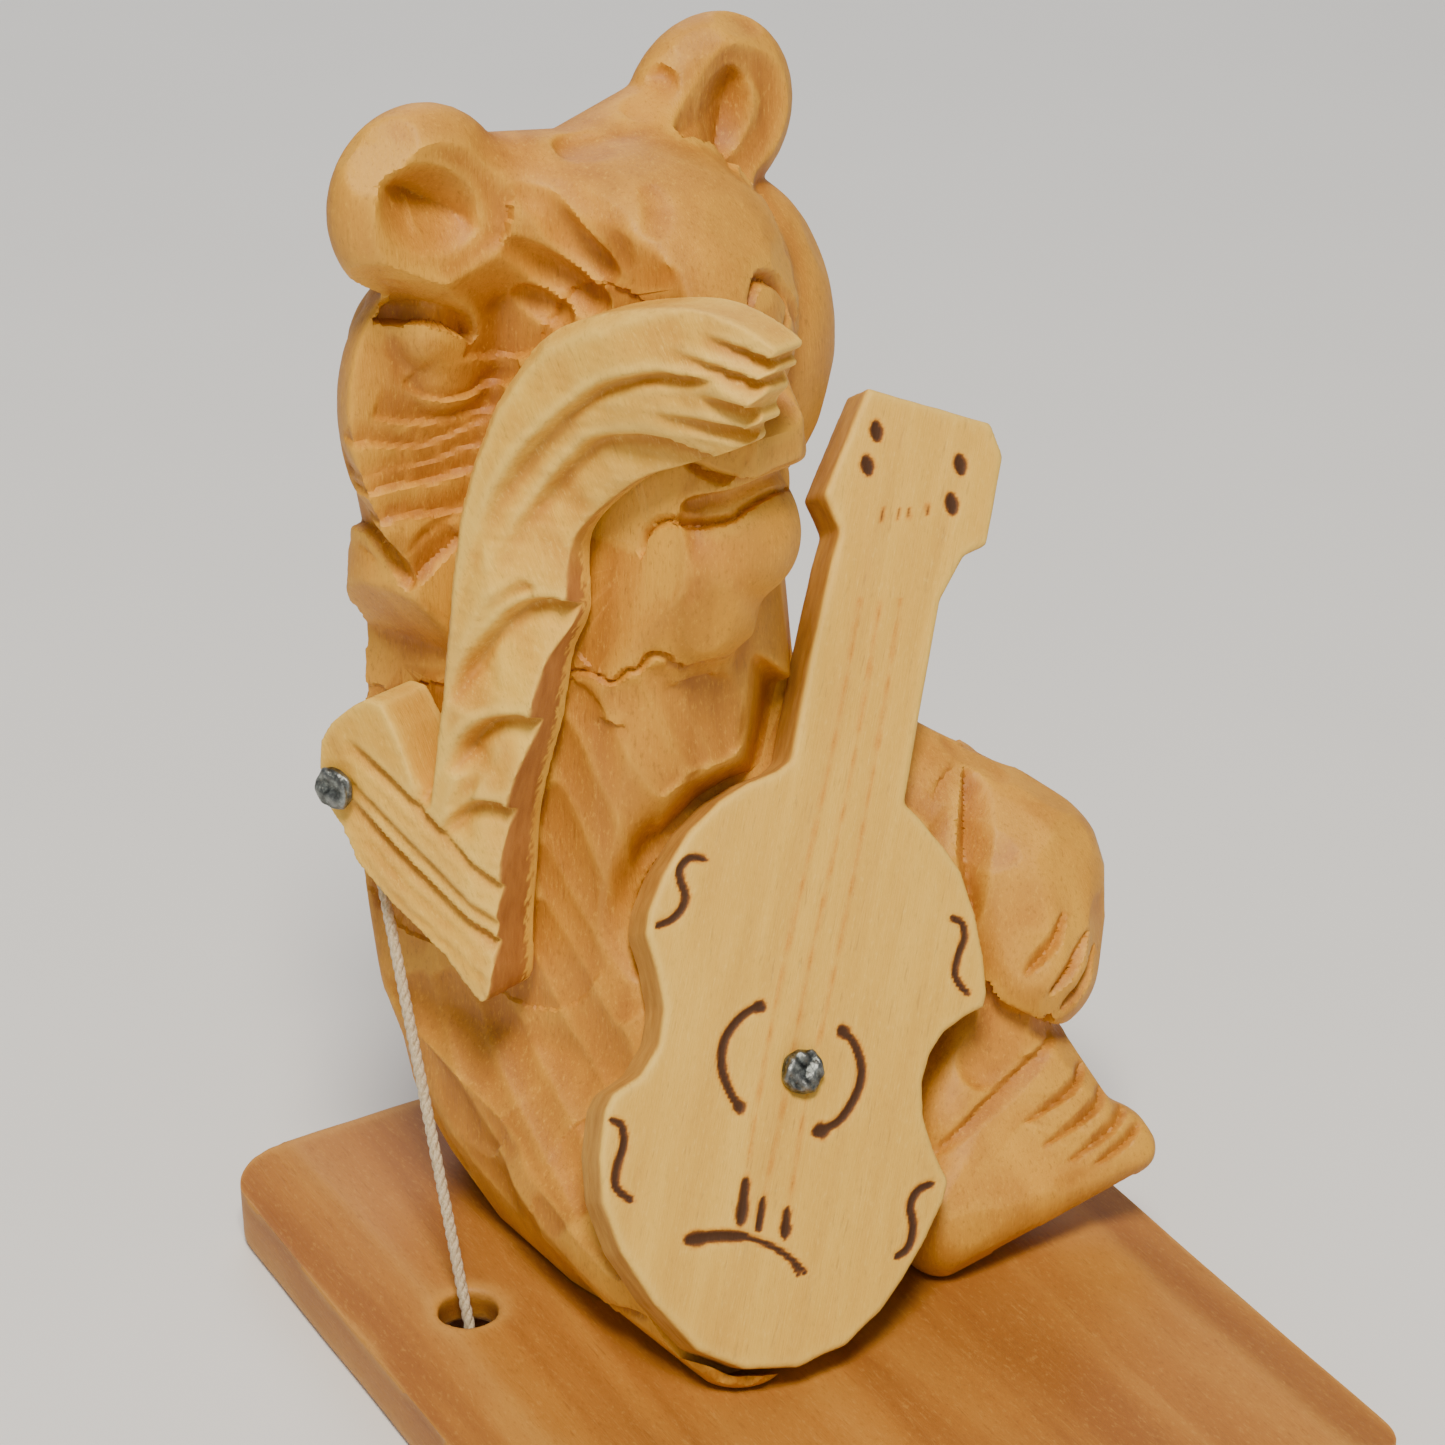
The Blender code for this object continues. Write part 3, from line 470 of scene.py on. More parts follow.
# Bear: rounded forms fused into one block, then cut with a gouge and a knife
bearLook = {
    "blockVoxel": 0.8, "skinVoxel": 0.36, "triangles": 192000, "crease": 34, "facetSize": 7.0,
    "facetDepth": 0.30,
    "headTilt": 3.0, "earLift": (109.8, 109.4), "earOut": (17.6, 16.2),
    # hollow colours: painted shade in the hollows; ridge light: pale worn fibres and painted highlight
    "wood": {"bandScale": 0.20, "dark": (0.42, 0.150, 0.009), "middle": (0.54, 0.215, 0.014),
             "light": (0.66, 0.290, 0.021), "patchy": 2.2, "patch": (0.42, 0.160, 0.016), "flecks": 0.34,
             "fleck": (0.26, 0.088, 0.009), "pale": (0.80, 0.43, 0.042), "hollowShadeDepth": 0.22,
             "hollow": (0.50, 0.30, 0.14), "ridgeWearAndHighlightStrength": 0.55, "roughness": 0.52, "coat": 0.04,
             "bump": 0.12, "speckle": 0.40},
}

headTurn = Matrix.Rotation(math.radians(-bearLook["headTilt"]), 3, "Y")
headPivot = Vector((0, 5, 90))


def onHead(place):
    return headTurn @ (Vector(place) - headPivot) + headPivot


def hull(bm, points):
    verts = [bm.verts.new(p) for p in points]
    made = bmesh.ops.convex_hull(bm, input=verts)
    spare = {v for v in made["geom_interior"] if isinstance(v, bmesh.types.BMVert)}
    bmesh.ops.delete(bm, geom=list(spare), context="VERTS")


def ball(centre, radii, turn=0.0, axis="Y", rings=16, sides=32):
    spin = Matrix.Rotation(turn, 3, axis)
    points = []
    for i in range(rings + 1):
        polar = math.pi * i / rings
        for j in range(sides if 0 < i < rings else 1):
            around = 2 * math.pi * j / sides
            p = (math.sin(polar) * math.cos(around), math.sin(polar) * math.sin(around), math.cos(polar))
            points.append(Vector(centre) + spin @ Vector(p[k] * radii[k] for k in range(3)))
    return points


def limb(bm, joints):
    for (a, ra), (b, rb) in zip(joints, joints[1:]):
        hull(bm, ball(a, (ra,) * 3) + ball(b, (rb,) * 3))


def wedge(bm, *ends):  # (y, low z, high z, half width low, half width high)
    points = []
    for y, low, high, halfLow, halfHigh in ends:
        points += [Vector((s * halfLow, y, low)) for s in (-1, 1)]
        points += [Vector((s * halfHigh, y, high)) for s in (-1, 1)]
    hull(bm, points)


def loft(bm, sections, sides=64):
    rings = []
    for z, front, back, half, taper, square in sections:
        middle, depth = (front + back) / 2, (back - front) / 2
        ring = []
        for i in range(sides):
            angle = 2 * math.pi * i / sides
            c, s = math.cos(angle), math.sin(angle)
            x = half * math.copysign(abs(c) ** (2 / square), c)
            y = math.copysign(abs(s) ** (2 / square), s)
            ring.append(bm.verts.new((x * (1 - taper * (1 - y) / 2), middle + depth * y, z)))
        rings.append(ring)
    for low, high in zip(rings, rings[1:]):
        for i in range(sides):
            j = (i + 1) % sides
            bm.faces.new((low[i], low[j], high[j], high[i]))
    bm.faces.new(rings[0][::-1])
    bm.faces.new(rings[-1])


bodySections = [  # z, front, back, half width, taper to the front, squareness
    (-1, -27, 20, 17.5, -0.16, 2.6), (4, -29, 22, 20.2, -0.06, 2.7),
    (12, -28.5, 23.4, 23.8, 0.05, 2.9), (24, -22.5, 24, 26.4, 0.22, 3.2),
    (38, -13, 24.2, 27.6, 0.42, 3.4), (52, -10.6, 24, 28.6, 0.55, 3.5),
    (66, -9.6, 23.8, 28.4, 0.59, 3.5), (78, -7, 23.4, 27, 0.56, 3.2),
    (90, -2, 22, 22, 0.42, 2.8), (98, 4, 18.5, 13, 0.20, 2.2),
]


def trunkForms(bm):
    loft(bm, bodySections)
    limb(bm, [((-15.0, -8, 12), 9.0), ((-15.2, -20, 9.0), 8.6), ((-14.2, -30.5, 5), 7.0)])
    limb(bm, [((16, -2, 15), 11.0), ((20, -18, 12.5), 10.0), ((20, -25, 9.5), 8.2)])
    hull(bm, ball((24.5, -22, 18.5), (7.4, 6.5, 6.5)) + ball((30, -32, 10.5), (3, 4, 4))
         + ball((17, -26, 10), (6, 6, 8)))
    hull(bm, ball((11.5, -31, 5.0), (4.5, 5, 6.0)) + ball((22, -28, 10.5), (5, 5.5, 7.0))
         + ball((33.0, -34.5, 8.0), (2.8, 5.0, 3.6)))
    limb(bm, [((16, 0, 45), 9.0), ((26.5, -10, 36.5), 10.2), ((31.0, -18, 31.5), 10.8),
              ((28.5, -24, 26), 7.8)])
    hull(bm, ball((12, -8, 34), (9, 9, 14)) + ball((21, -14, 32), (9, 8, 11)))


def headForms(bm):
    hull(bm, ball((0, 5, 95.5), (18.0, 17.0, 17.0)))
    for side in (-1, 1):
        hull(bm, ball((side * 16.2, 9.8, 86), (10.4, 12.2, 17.0), side * 0.12))
    wedge(bm, (-17.0, 86.0, 92.0, 5.2, 4.0), (-2.0, 80.0, 104.0, 11.5, 9.0))
    wedge(bm, (-18.6, 87.0, 91.8, 3.2, 3.8), (-13.0, 87.5, 94.8, 4.0, 4.6))
    hull(bm, ball((1.2, -8.6, 77.8), (6.6, 8.4, 7.4), 0.25, "X"))
    hull(bm, ball((-1.5, -8.0, 76.0), (6.5, 7.5, 6.0)) + ball((-2.5, -7.4, 68.0), (5.5, 7.0, 4.0)))
    hull(bm, ball((0, 0, 78), (13.5, 11.5, 11.5)))
    hull(bm, ball((-10, -5, 78), (7.5, 9.0, 11.5), -0.3, "Z") + ball((-13, 6, 76), (9, 9, 12)))


def earForms(bm):
    for side, lift, out in ((-1, bearLook["earLift"][0], bearLook["earOut"][0]),
                            (1, bearLook["earLift"][1], bearLook["earOut"][1])):
        hull(bm, ball((side * out, 10.5, lift), (9.4, 5.8, 9.8), side * 0.45))
        hull(bm, ball((side * 14.4, 11, lift - 2.0), (7, 5.2, 7.6))
             + ball((side * 0.5 - 1.5, 8.5, 106), (7, 7, 7)))
        hull(bm, ball((side * 14.6, 16.0, 92.0), (8.0, 7.0, 9.0)))
    hull(bm, ball((-16.0, 13.5, 97.5), (5.5, 6.0, 5.5)))  # fills the corner under the right ear


def tilted(bm, forms):
    head = bmesh.new()
    forms(head)
    for v in head.verts:
        v.co = onHead(v.co)
    bm.from_mesh(meshFrom(head, "head"))


def pocket(sLow, sHigh, qLow, qHigh):  # the flat the arm lies on, its banks leaning outwards
    bm = bmesh.new()
    inner = -places["armThickness"] - places["armGap"]
    points = []
    for lift, out in ((0, 0), (40, 20)):
        for s in (sLow - out, sHigh + out):
            for q in (qLow - 3.4 * out, qHigh + 2.2 * out):
                points.append(Vector((s, q, inner + lift)))
    hull(bm, points)
    bmesh.ops.transform(bm, matrix=bearFrame.inverted() @ armFrame, verts=bm.verts)
    return meshFrom(bm, "pocket")


def smoothLine(path, steps=8):
    path = [np.array(p, float) for p in path]
    if len(path) < 3:
        return np.array([path[0] + (path[1] - path[0]) * k / 12 for k in range(13)])
    line = []
    for i in range(len(path) - 1):
        before, after = path[max(i - 1, 0)], path[min(i + 2, len(path) - 1)]
        a, b = path[i], path[i + 1]
        for j in range(steps + (i == len(path) - 2)):
            t = j / steps
            line.append(0.5 * (2 * a + (b - before) * t + (2 * before - 5 * a + 4 * b - after) * t * t
                               + (3 * a - before - 3 * b + after) * t ** 3))
    return np.array(line)


def violinBed(*corners):  # part of the flat the violin lies on, its bank leaning towards the arm
    bm = bmesh.new()
    low = -places["violinThickness"] - places["violinGap"]
    points = [Vector((x, y, low)) for x, y in corners]
    points += [Vector((x - 24 * (x < 0), y, low + 40)) for x, y in corners]
    hull(bm, points)
    bmesh.ops.transform(bm, matrix=bearFrame.inverted() @ violinFrame, verts=bm.verts)
    return meshFrom(bm, "bed")


class Skin:  # a mesh whose points the tools push in
    def __init__(self, mesh):
        self.mesh = mesh
        self.points = pointsOf(mesh)
        self.sunk = np.zeros(len(self.points))
        self.feel()

    def feel(self):  # the surface's normals and search tree, read anew
        self.normals = neighbourMean(self.mesh, normalsOf(self.mesh), 3)
        self.normals /= np.linalg.norm(self.normals, axis=1)[:, None]
        bm = bmesh.new()
        bm.from_mesh(self.mesh)
        self.tree = BVHTree.FromBMesh(bm)
        bm.free()

    def laid(self, path):  # the path smoothed and dropped on the surface, with the normals there
        line = smoothLine(path, 10)
        found = [self.tree.find_nearest(Vector(p)) for p in line]
        line, normals = (np.array([f[k] for f in found]) for k in (0, 1))
        for _ in range(2):
            line[1:-1] = (line[:-2] + line[1:-1] * 2 + line[2:]) / 4
            normals[1:-1] = (normals[:-2] + normals[1:-1] * 2 + normals[2:]) / 4
        return line, normals / np.linalg.norm(normals, axis=1)[:, None]

    def melt(self, reach, rounds, *spots):  # blends what meets at the spots
        points = self.points
        share = np.zeros(len(points))
        for spot in spots:
            gap = np.linalg.norm(points - np.array(spot), axis=1) / reach
            share = np.maximum(share, np.clip(2 - 2 * gap, 0, 1))
        a, b = edgesOf(self.mesh)
        close = (share[a] > 0) | (share[b] > 0)
        used, place = np.unique(np.concatenate((a[close], b[close])), return_inverse=True)
        a, b = np.split(place, 2)
        count = np.bincount(place, minlength=len(used))[:, None]
        patch, hold = points[used], share[used][:, None]
        for _ in range(rounds):
            total = np.stack([np.bincount(a, patch[b, k], len(used)) + np.bincount(b, patch[a, k],
                                                                                   len(used))
                              for k in range(3)], axis=1)
            patch = patch + (total / count - patch) * hold
        points[used] = patch
        putPoints(self.mesh, points)
        self.feel()

    def across(self, path, reach):  # points near the path: how far to its right, and how far along it
        line, normals = self.laid(path)
        low, high = line.min(0) - reach, line.max(0) + reach
        near = np.where(((self.points > low) & (self.points < high)).all(1))[0]
        apart = self.points[near, None, :] - line[None, :, :]
        nearest = (apart ** 2).sum(2).argmin(1)
        apart = apart[np.arange(len(near)), nearest]
        ahead = np.gradient(line, axis=0)
        step = np.linalg.norm(ahead, axis=1)[:, None]
        ahead /= step
        right = np.cross(ahead, normals)
        right /= np.linalg.norm(right, axis=1)[:, None]
        along = (nearest + (apart * ahead[nearest]).sum(1) / step[nearest, 0]) / (len(line) - 1)
        inside = np.linalg.norm(apart, axis=1) < reach
        facing = (self.normals[near] * normals[nearest]).sum(1) > 0.1
        keep = inside & facing
        return near[keep], (apart * right[nearest]).sum(1)[keep], along[keep]

    def take(self, near, cut):
        self.sunk[near] = np.maximum(self.sunk[near], cut)

    def gouge(self, path, width, depth, peak=0.5, tail=0.6, sharp=False,
              lean=0.0):  # leaf-shaped flute or cut
        near, side, along = self.across(path, width)
        inside = np.clip(along, 0, 1)
        fade = np.sin(np.pi * inside ** (math.log(0.5) / math.log(peak))) ** tail
        fade = fade * ((along > 0) & (along < 1))
        half = width / 2 * np.where(side > 0, 1 + lean, 1 - lean)
        share = np.abs(side) / half
        self.take(near, depth * (fade - (share if sharp else share ** 2)))

    def shingle(self, path, length, depth, steep=0.5, tail=0.5):  # step down on the path's right, rising away
        near, side, along = self.across(path, length * 1.3)
        fade = np.sin(np.pi * np.clip(along, 0, 1)) ** tail
        self.take(near, depth * fade * np.clip(side / steep, 0, 1) * np.clip(1 - side / length, 0, 1))

    def plane(self, spot, way, reach, depth=0.0):  # one flat knife facet
        spot = np.array(spot, float)
        if way is None:
            place, way, _, _ = self.tree.find_nearest(Vector(spot))
            spot = np.array(place)
        way = np.array(Vector(way).normalized())
        apart = self.points - spot
        near = np.where((apart ** 2).sum(1) < reach ** 2)[0]
        over = apart[near] @ way + depth
        share = np.linalg.norm(apart[near] - (apart[near] @ way)[:, None] * way, axis=1) / reach
        facing = self.normals[near] @ way
        cut = (over - 1.6 * share ** 6) / np.maximum(facing, 0.5)
        self.take(near, np.where((facing > 0.35) & (over < 2.4), np.minimum(cut, 1.6), 0))

    def bowl(self, spot, way, ahead, long, wide, depth, valley):  # dish with a crisp rim and a creased floor
        way = np.array(Vector(way).normalized())
        ahead = np.array(Vector(ahead).normalized())
        side = np.cross(way, ahead)
        apart = self.points - np.array(spot)
        near = np.where(((apart ** 2).sum(1) < (long * 1.5) ** 2) & (self.normals @ way > 0.2))[0]
        u = apart[near] @ ahead / long
        room = np.sqrt(np.clip(1 - u ** 2, 0, 1))
        v = apart[near] @ side / (wide * np.maximum(room, 0.01))
        fall = np.where(v < valley, (1 + v) / (1 + valley), (1 - v) / (1 - valley))
        self.take(near, depth * room * np.clip(fall, 0, 1) ** 0.9)

    def facets(self, size, depth, seed):  # shallow knife facets on whatever is rounded outwards
        rng = np.random.default_rng(seed)
        kept = []
        for k in rng.choice(len(self.points), int(len(self.points) / 300), replace=False):
            if not kept or np.linalg.norm(self.points[kept] - self.points[k], axis=1).min() > size * 0.68:
                kept.append(k)
        for k in kept:
            apart = self.points - self.points[k]
            near = np.where((apart ** 2).sum(1) < (size * 1.2) ** 2)[0]
            over = apart[near] @ self.normals[k] + depth
            facing = (self.normals[near] @ self.normals[k]) > 0
            if over[facing].max() < depth * 2.2:
                self.take(near, over * facing)

    def settle(self):
        self.points = self.points - self.normals * np.clip(self.sunk, 0, None)[:, None]
        putPoints(self.mesh, self.points)
        self.sunk[:] = 0


def carveEars(skin):
    # the fronts planed flat, the rims chamfered, then the dishes hollowed
    skin.plane((-20.5, 6.9, 109.5), (-0.02, -1, 0.03), 8.5)
    skin.plane((-24.6, 9, 115.2), (-0.52, -0.55, 0.65), 7, 0.3)
    skin.plane((-21, 8.7, 101.7), (-0.47, -0.47, -0.74), 10, 0.3)
    skin.plane((14.5, 6.9, 112), (0.05, -1, 0.05), 8)
    skin.plane((16.5, 9, 119.2), (0.30, -0.45, 0.84), 5.5, 0.2)
    skin.settle()
    skin.bowl((-20.2, 6.6, 109.8), (0, -1, 0), (0.85, 0, -0.53), 5.8, 4.2, 3.9, 0.30)
    skin.bowl((13, 6.8, 111.8), (0, -1, 0), (0.30, 0, 0.95), 6.6, 4.6, 0.6, 0)
    skin.bowl((13.9, 6.8, 111.5), (0, -1, 0), (0.22, 0, 0.97), 4.7, 3.6, 2.4, -0.45)


def carveHead(skin):
    # flutes between the ear and the brow, then short facets on the crown
    for path, width, depth, peak in (
            ([(-12.6, 5.6, 110.6), (-9.5, 3.5, 108.7), (-7.1, 1.4, 106.2), (-5.2, -2.4, 102.2)],
             4.4, 1.4, 0.68),
            ([(-14.6, 5.2, 106.3), (-10.1, 5.2, 104), (-7, 3.2, 101.1), (-6.4, -1.8, 98.8)],
             4.6, 1.6, 0.68),
            ([(-10.4, 7.4, 100.5), (-8.3, 5.4, 98.3), (-7.5, 2.2, 96.6)], 4.2, 1.4, 0.6),
            ([(-8.6, 3.6, 111.3), (-7.2, -3, 108.2), (-5, -3, 103.6)], 3.6, 0.5, 0.6),
            ([(-2, -2, 110.6), (-2.8, -4.7, 109), (-4.7, -6.2, 107.2)], 3.4, 0.4, 0.5)):
        skin.gouge(path, width, depth, peak)
    skin.plane((-3.3, 4.6, 112.4), None, 3.8, 0.14)
    skin.plane((6, 8, 114.2), None, 4, 0.16)
    # ruff below the ear: overlapping locks
    for path, length, depth, tail in (
            ([(-8.8, 3.2, 96.2), (-9.5, 4.9, 94), (-10.6, 7.2, 92.4), (-12.4, 10, 92.2), (-15.4, 12, 93.6)],
             4.2, 0.9, 0.35),
            ([(-9.8, 6.4, 90.8), (-11.4, 8.6, 89.4), (-14.2, 11, 88.9), (-17.6, 12.2, 89.6),
              (-20.6, 12.6, 91.2)], 4.2, 1.0, 0.35),
            ([(-11, 7.6, 87.6), (-13, 10, 86.4), (-16.6, 11.6, 86.3), (-20.4, 12, 87), (-24, 13, 88.4)],
             3.8, 1.0, 0.35),
            ([(-12, 9.6, 86), (-15, 10.5, 84.9), (-19, 11.4, 84.3), (-22.8, 11.6, 85.3), (-26, 14, 86.6)],
             3.0, 1.0, 0.5),
            ([(-12.6, 10, 83.4), (-15, 11, 83), (-17.7, 11.7, 82.4), (-21.7, 12.3, 82.5),
              (-24.5, 16, 82.2)], 3.4, 1.0, 0.5),
            ([(-13.4, 10, 81.2), (-15.7, 10.8, 80.8), (-18.8, 11, 80.6), (-22.3, 11.5, 80.9),
              (-25, 15, 80.8)], 4.0, 1.1, 0.5),
            ([(-14, 10, 77.4), (-16.6, 10.9, 77.1), (-22, 12, 77.9), (-24, 17.7, 77.2)], 3.8, 0.9, 0.5),
            ([(-15.6, 9.4, 74.4), (-18.4, 9.8, 72.3), (-21.7, 10.8, 70.2), (-22.2, 13.6, 73),
              (-21.6, 16.5, 74.6), (-21, 20.5, 73.2), (-18, 24, 71)], 4.5, 1.4, 0.2)):
        skin.shingle(path, length, depth, tail=tail)
    skin.gouge([(-15.9, 10.4, 77.2), (-19.4, 11.3, 75.4), (-22, 12.1, 73)], 2.6, 0.6, sharp=True)
    # the far cheek's flutes, then the locks round the neck and down the nape
    for i in range(4):
        skin.gouge([(15.5 + 0.5 * i, 6 - 2.2 * i, 108 - 3.4 * i),
                    (14 + 0.6 * i, -1 - 2 * i, 104.6 - 3.4 * i),
                    (11.4 + 0.4 * i, -5 - 1.4 * i, 100.4 - 3 * i)], 4, 0.7, 0.6)
    for i in range(5):
        down = 4.4 * i
        skin.shingle([(26, 4, 90.5 - down), (24, 12, 88.4 - down), (24, 19, 89 - down),
                      (16, 26, 90 - down)], 4.2, 1.1)
        skin.shingle([(9, 28, 92 - 4.6 * i), (0, 29, 89.6 - 4.6 * i), (-9, 28, 92 - 4.6 * i)], 4.4, 1)
        skin.shingle([(-9, 28, 90 - 4.5 * i), (-17, 25, 87.8 - 4.5 * i), (-23, 20, 89 - down)], 4, 1)
    for i in range(6):
        skin.gouge([(-13 + 5.2 * i, 22, 108.6), (-16 + 6.4 * i, 26.5, 100), (-18 + 7.2 * i, 30, 92)],
                   5.2, 0.8, 0.6)
    # eye: almond with a deep cut round its top and front
    skin.gouge([(2.9, -10.5, 98.6), (3.2, -10, 100.4), (4.6, -9.2, 101.7), (5.8, -9, 101.6),
                (7.6, -8.2, 100.4), (9, -7.9, 98.4), (8.2, -9.2, 96.6), (7, -10.4, 94.8)],
               1.9, 1.5, 0.55, 0.5, sharp=True)
    skin.gouge([(2.9, -10.6, 99.4), (3.3, -10.8, 97.4), (5, -10.9, 95.4)], 1.2, 0.5, sharp=True)
    skin.gouge([(6.6, -9, 101.6), (9.4, -8, 98.8), (11.3, -7.2, 94.5)], 2.4, 0.6, lean=0.4)
    # nose block, lip and the mouth's hooked corner
    skin.plane((-3.2, -17.6, 88.4), (-0.80, -0.60, -0.05), 4.6, 0.15)
    skin.plane((0.4, -17.4, 92), (-0.10, -0.50, 0.86), 4.2, 0.3)
    skin.gouge([(-6.4, -11, 87.6), (-5.2, -13, 86.8), (-3.4, -16.4, 86.4), (-0.6, -18, 86.9),
                (3.5, -18, 87.6)], 1.8, 1, sharp=True)
    skin.gouge([(-8, -8, 76.8), (-7.4, -8.3, 79.2), (-6.9, -9.6, 80.6), (-5.5, -11.3, 81),
                (-3.9, -12.3, 80.6), (-1.7, -14.1, 81.2), (-0.3, -14.4, 82), (3, -14, 82.2),
                (7, -12.6, 81.4)], 1.3, 1.2, 0.4, 0.3, sharp=True, lean=-0.3)
    # torn edge where the cheek's flat ends
    skin.gouge([(-13.5, -0.6, 63.2), (-11.4, -4, 64.1), (-9.9, -6.2, 63.5), (-9.1, -7.4, 64.9),
                (-8.6, -8.8, 65.2), (-8.3, -10, 66.6), (-7.1, -11.2, 66.2), (-6.3, -11.1, 64.8),
                (-5.4, -11, 65.1), (-4.6, -10.9, 64.3), (-2.6, -10.6, 65.3), (0.8, -9.8, 66.4)],
               1, 0.9, 0.5, 0.2, sharp=True)


def carveTrunk(skin):
    chest = [
        [(-8, -11.4, 65.2), (-5.3, -12.3, 59.4), (-1.4, -13.4, 52.6)],
        [(-10, -6.7, 63.4), (-8.9, -10.7, 57.7), (-5, -12.8, 50.9)],
        [(-4.6, -12.6, 64.6), (-1.3, -12.6, 59.6), (2.2, -13, 54)],
        [(-12, -2.6, 62.4), (-11.3, -7.5, 55), (-8.8, -11.9, 47.8), (-3.1, -11.3, 40)],
        [(-13, -0.8, 57.8), (-12.6, -5.8, 50.3), (-11.3, -10.2, 44.4), (-7, -11.8, 37.8)],
        [(-13.8, -0.6, 51.4), (-13.2, -4.1, 44.1), (-12.3, -8.6, 38.6), (-10.5, -11.6, 33.4)],
        [(-14.9, -0.6, 45), (-14.7, -4.4, 38.6), (-14, -8.6, 33.9), (-13.2, -12.4, 29.6)],
        [(-15.8, -0.6, 38.8), (-15.5, -4.4, 33.1), (-15.1, -8.2, 28.2), (-14.4, -12.8, 23.2)],
        [(-17, 1.6, 33), (-17, -3.6, 25.6), (-17.2, -9.6, 21.2), (-18, -15, 17.4)],
        [(-18.4, 5, 29.4), (-19.2, -1, 22.8), (-20.1, -8.4, 18.2), (-21, -17, 13.2)],
        [(-20, 9.6, 27.6), (-21.2, 3, 21), (-21.9, -4.9, 15.9), (-22.6, -15, 10.4)],
        [(-21.5, 13, 26.4), (-22.8, 6.5, 18.4), (-22.9, -1, 11.6), (-23.2, -10, 6.4)],
        [(-22.5, 17, 22.8), (-23, 12, 12), (-22, 6, 4)],
    ]
    for i, path in enumerate(chest):
        skin.gouge(path, 6.4 + 0.7 * (i % 3), 0.75 + 0.12 * (i % 2), 0.55, 0.35)
    # the far side and the back: long flutes side by side
    for i in range(7):
        side, back, odd = 5.2 * i, 7.4 * i, 2 * (i % 2)
        skin.gouge([(34, 24 - side, 66 - i), (34, 20 - side, 44), (32, 15 - side, 22)], 6.6, 0.8, 0.5, 0.35)
        skin.gouge([(-21 + 7 * i, 34, 68 + odd), (-23 + back, 34, 52), (-21 + 7 * i, 34, 36)],
                   8, 0.9, 0.5, 0.35)
        skin.gouge([(-23 + back, 34, 38 + odd), (-22 + 7.2 * i, 34, 22), (-20 + 6.6 * i, 34, 4)],
                   8, 0.8, 0.5, 0.35)
    # far paw: its front planed down, a deep cut behind it, three fingers
    for spot in ((25.4, -20.2, 39.6), (26.8, -30.6, 25.4), (31, -26, 37.5), (37, -24, 32),
                 (33.5, -29, 29.5), (30, -14, 44), (25, -28.5, 31)):
        skin.plane(spot, None, 6, 0.35)
    skin.settle()
    skin.gouge([(27.6, -15.4, 45), (24.8, -18.4, 40.1), (23.3, -20.5, 37), (22.4, -23.4, 32.4)],
               3.8, 1.8, 0.4, sharp=True, lean=-0.6)
    for path in ([(29.6, -28.6, 33.8), (27.6, -29.4, 31), (23.6, -29.4, 28.6)],
                 [(32.2, -29.4, 31), (29.1, -30.8, 28.6), (25.6, -31.2, 26.2)],
                 [(33.6, -29.6, 28.8), (30.4, -31.2, 26.3), (27.2, -31.4, 23.6)]):
        skin.gouge(path, 1.9, 1.2, 0.55, sharp=True, lean=0.4)
    skin.gouge([(20, -24, 26.5), (22.1, -25.3, 25.4), (24.2, -28.5, 23.5), (28.5, -28.8, 20.3),
                (33, -24, 20)], 2.8, 1.7, 0.5, 0.3, sharp=True)
    # far foot: the crease above its sole, four toes parted by curved cuts
    for spot in ((20, -33, 8), (29.6, -31, 16.4), (12, -32.5, 6), (34, -36, 9), (22, -27, 21)):
        skin.plane(spot, None, 6, 0.3)
    skin.settle()
    skin.gouge([(28.4, -29, 19.6), (22.2, -29.7, 17.1), (17.4, -30.1, 15.5), (12, -29.3, 12)],
               2.4, 0.9, 0.45, 0.4, sharp=True, lean=-0.4)
    for path in ([(31.2, -30.8, 16.2), (27.4, -32.3, 14.4), (20.6, -33.1, 13.8)],
                 [(32.6, -32.6, 14), (28.6, -34.3, 12.3), (21.4, -35, 11.6)],
                 [(33.6, -34.8, 12.2), (30.2, -36.1, 10.8), (23.4, -36.8, 9.9)],
                 [(33.4, -37.2, 11), (30.4, -38.1, 9.9), (25.9, -38, 8.8)]):
        skin.gouge(path, 1.7, 0.9, 0.40, 0.8, sharp=True, lean=0.5)
    # near foot: toes
    for i in range(4):
        x, y = -19.5 + 2.6 * i, -34.2 - 0.8 * i
        skin.gouge([(x, y, 7.4), (x - 0.3, y - 1.4, 0)], 2.4, 1.3, 0.7, sharp=True)
    skin.gouge([(-21, -18.7, 3.6), (-22.8, -26.5, 6)], 2, 1, sharp=True)


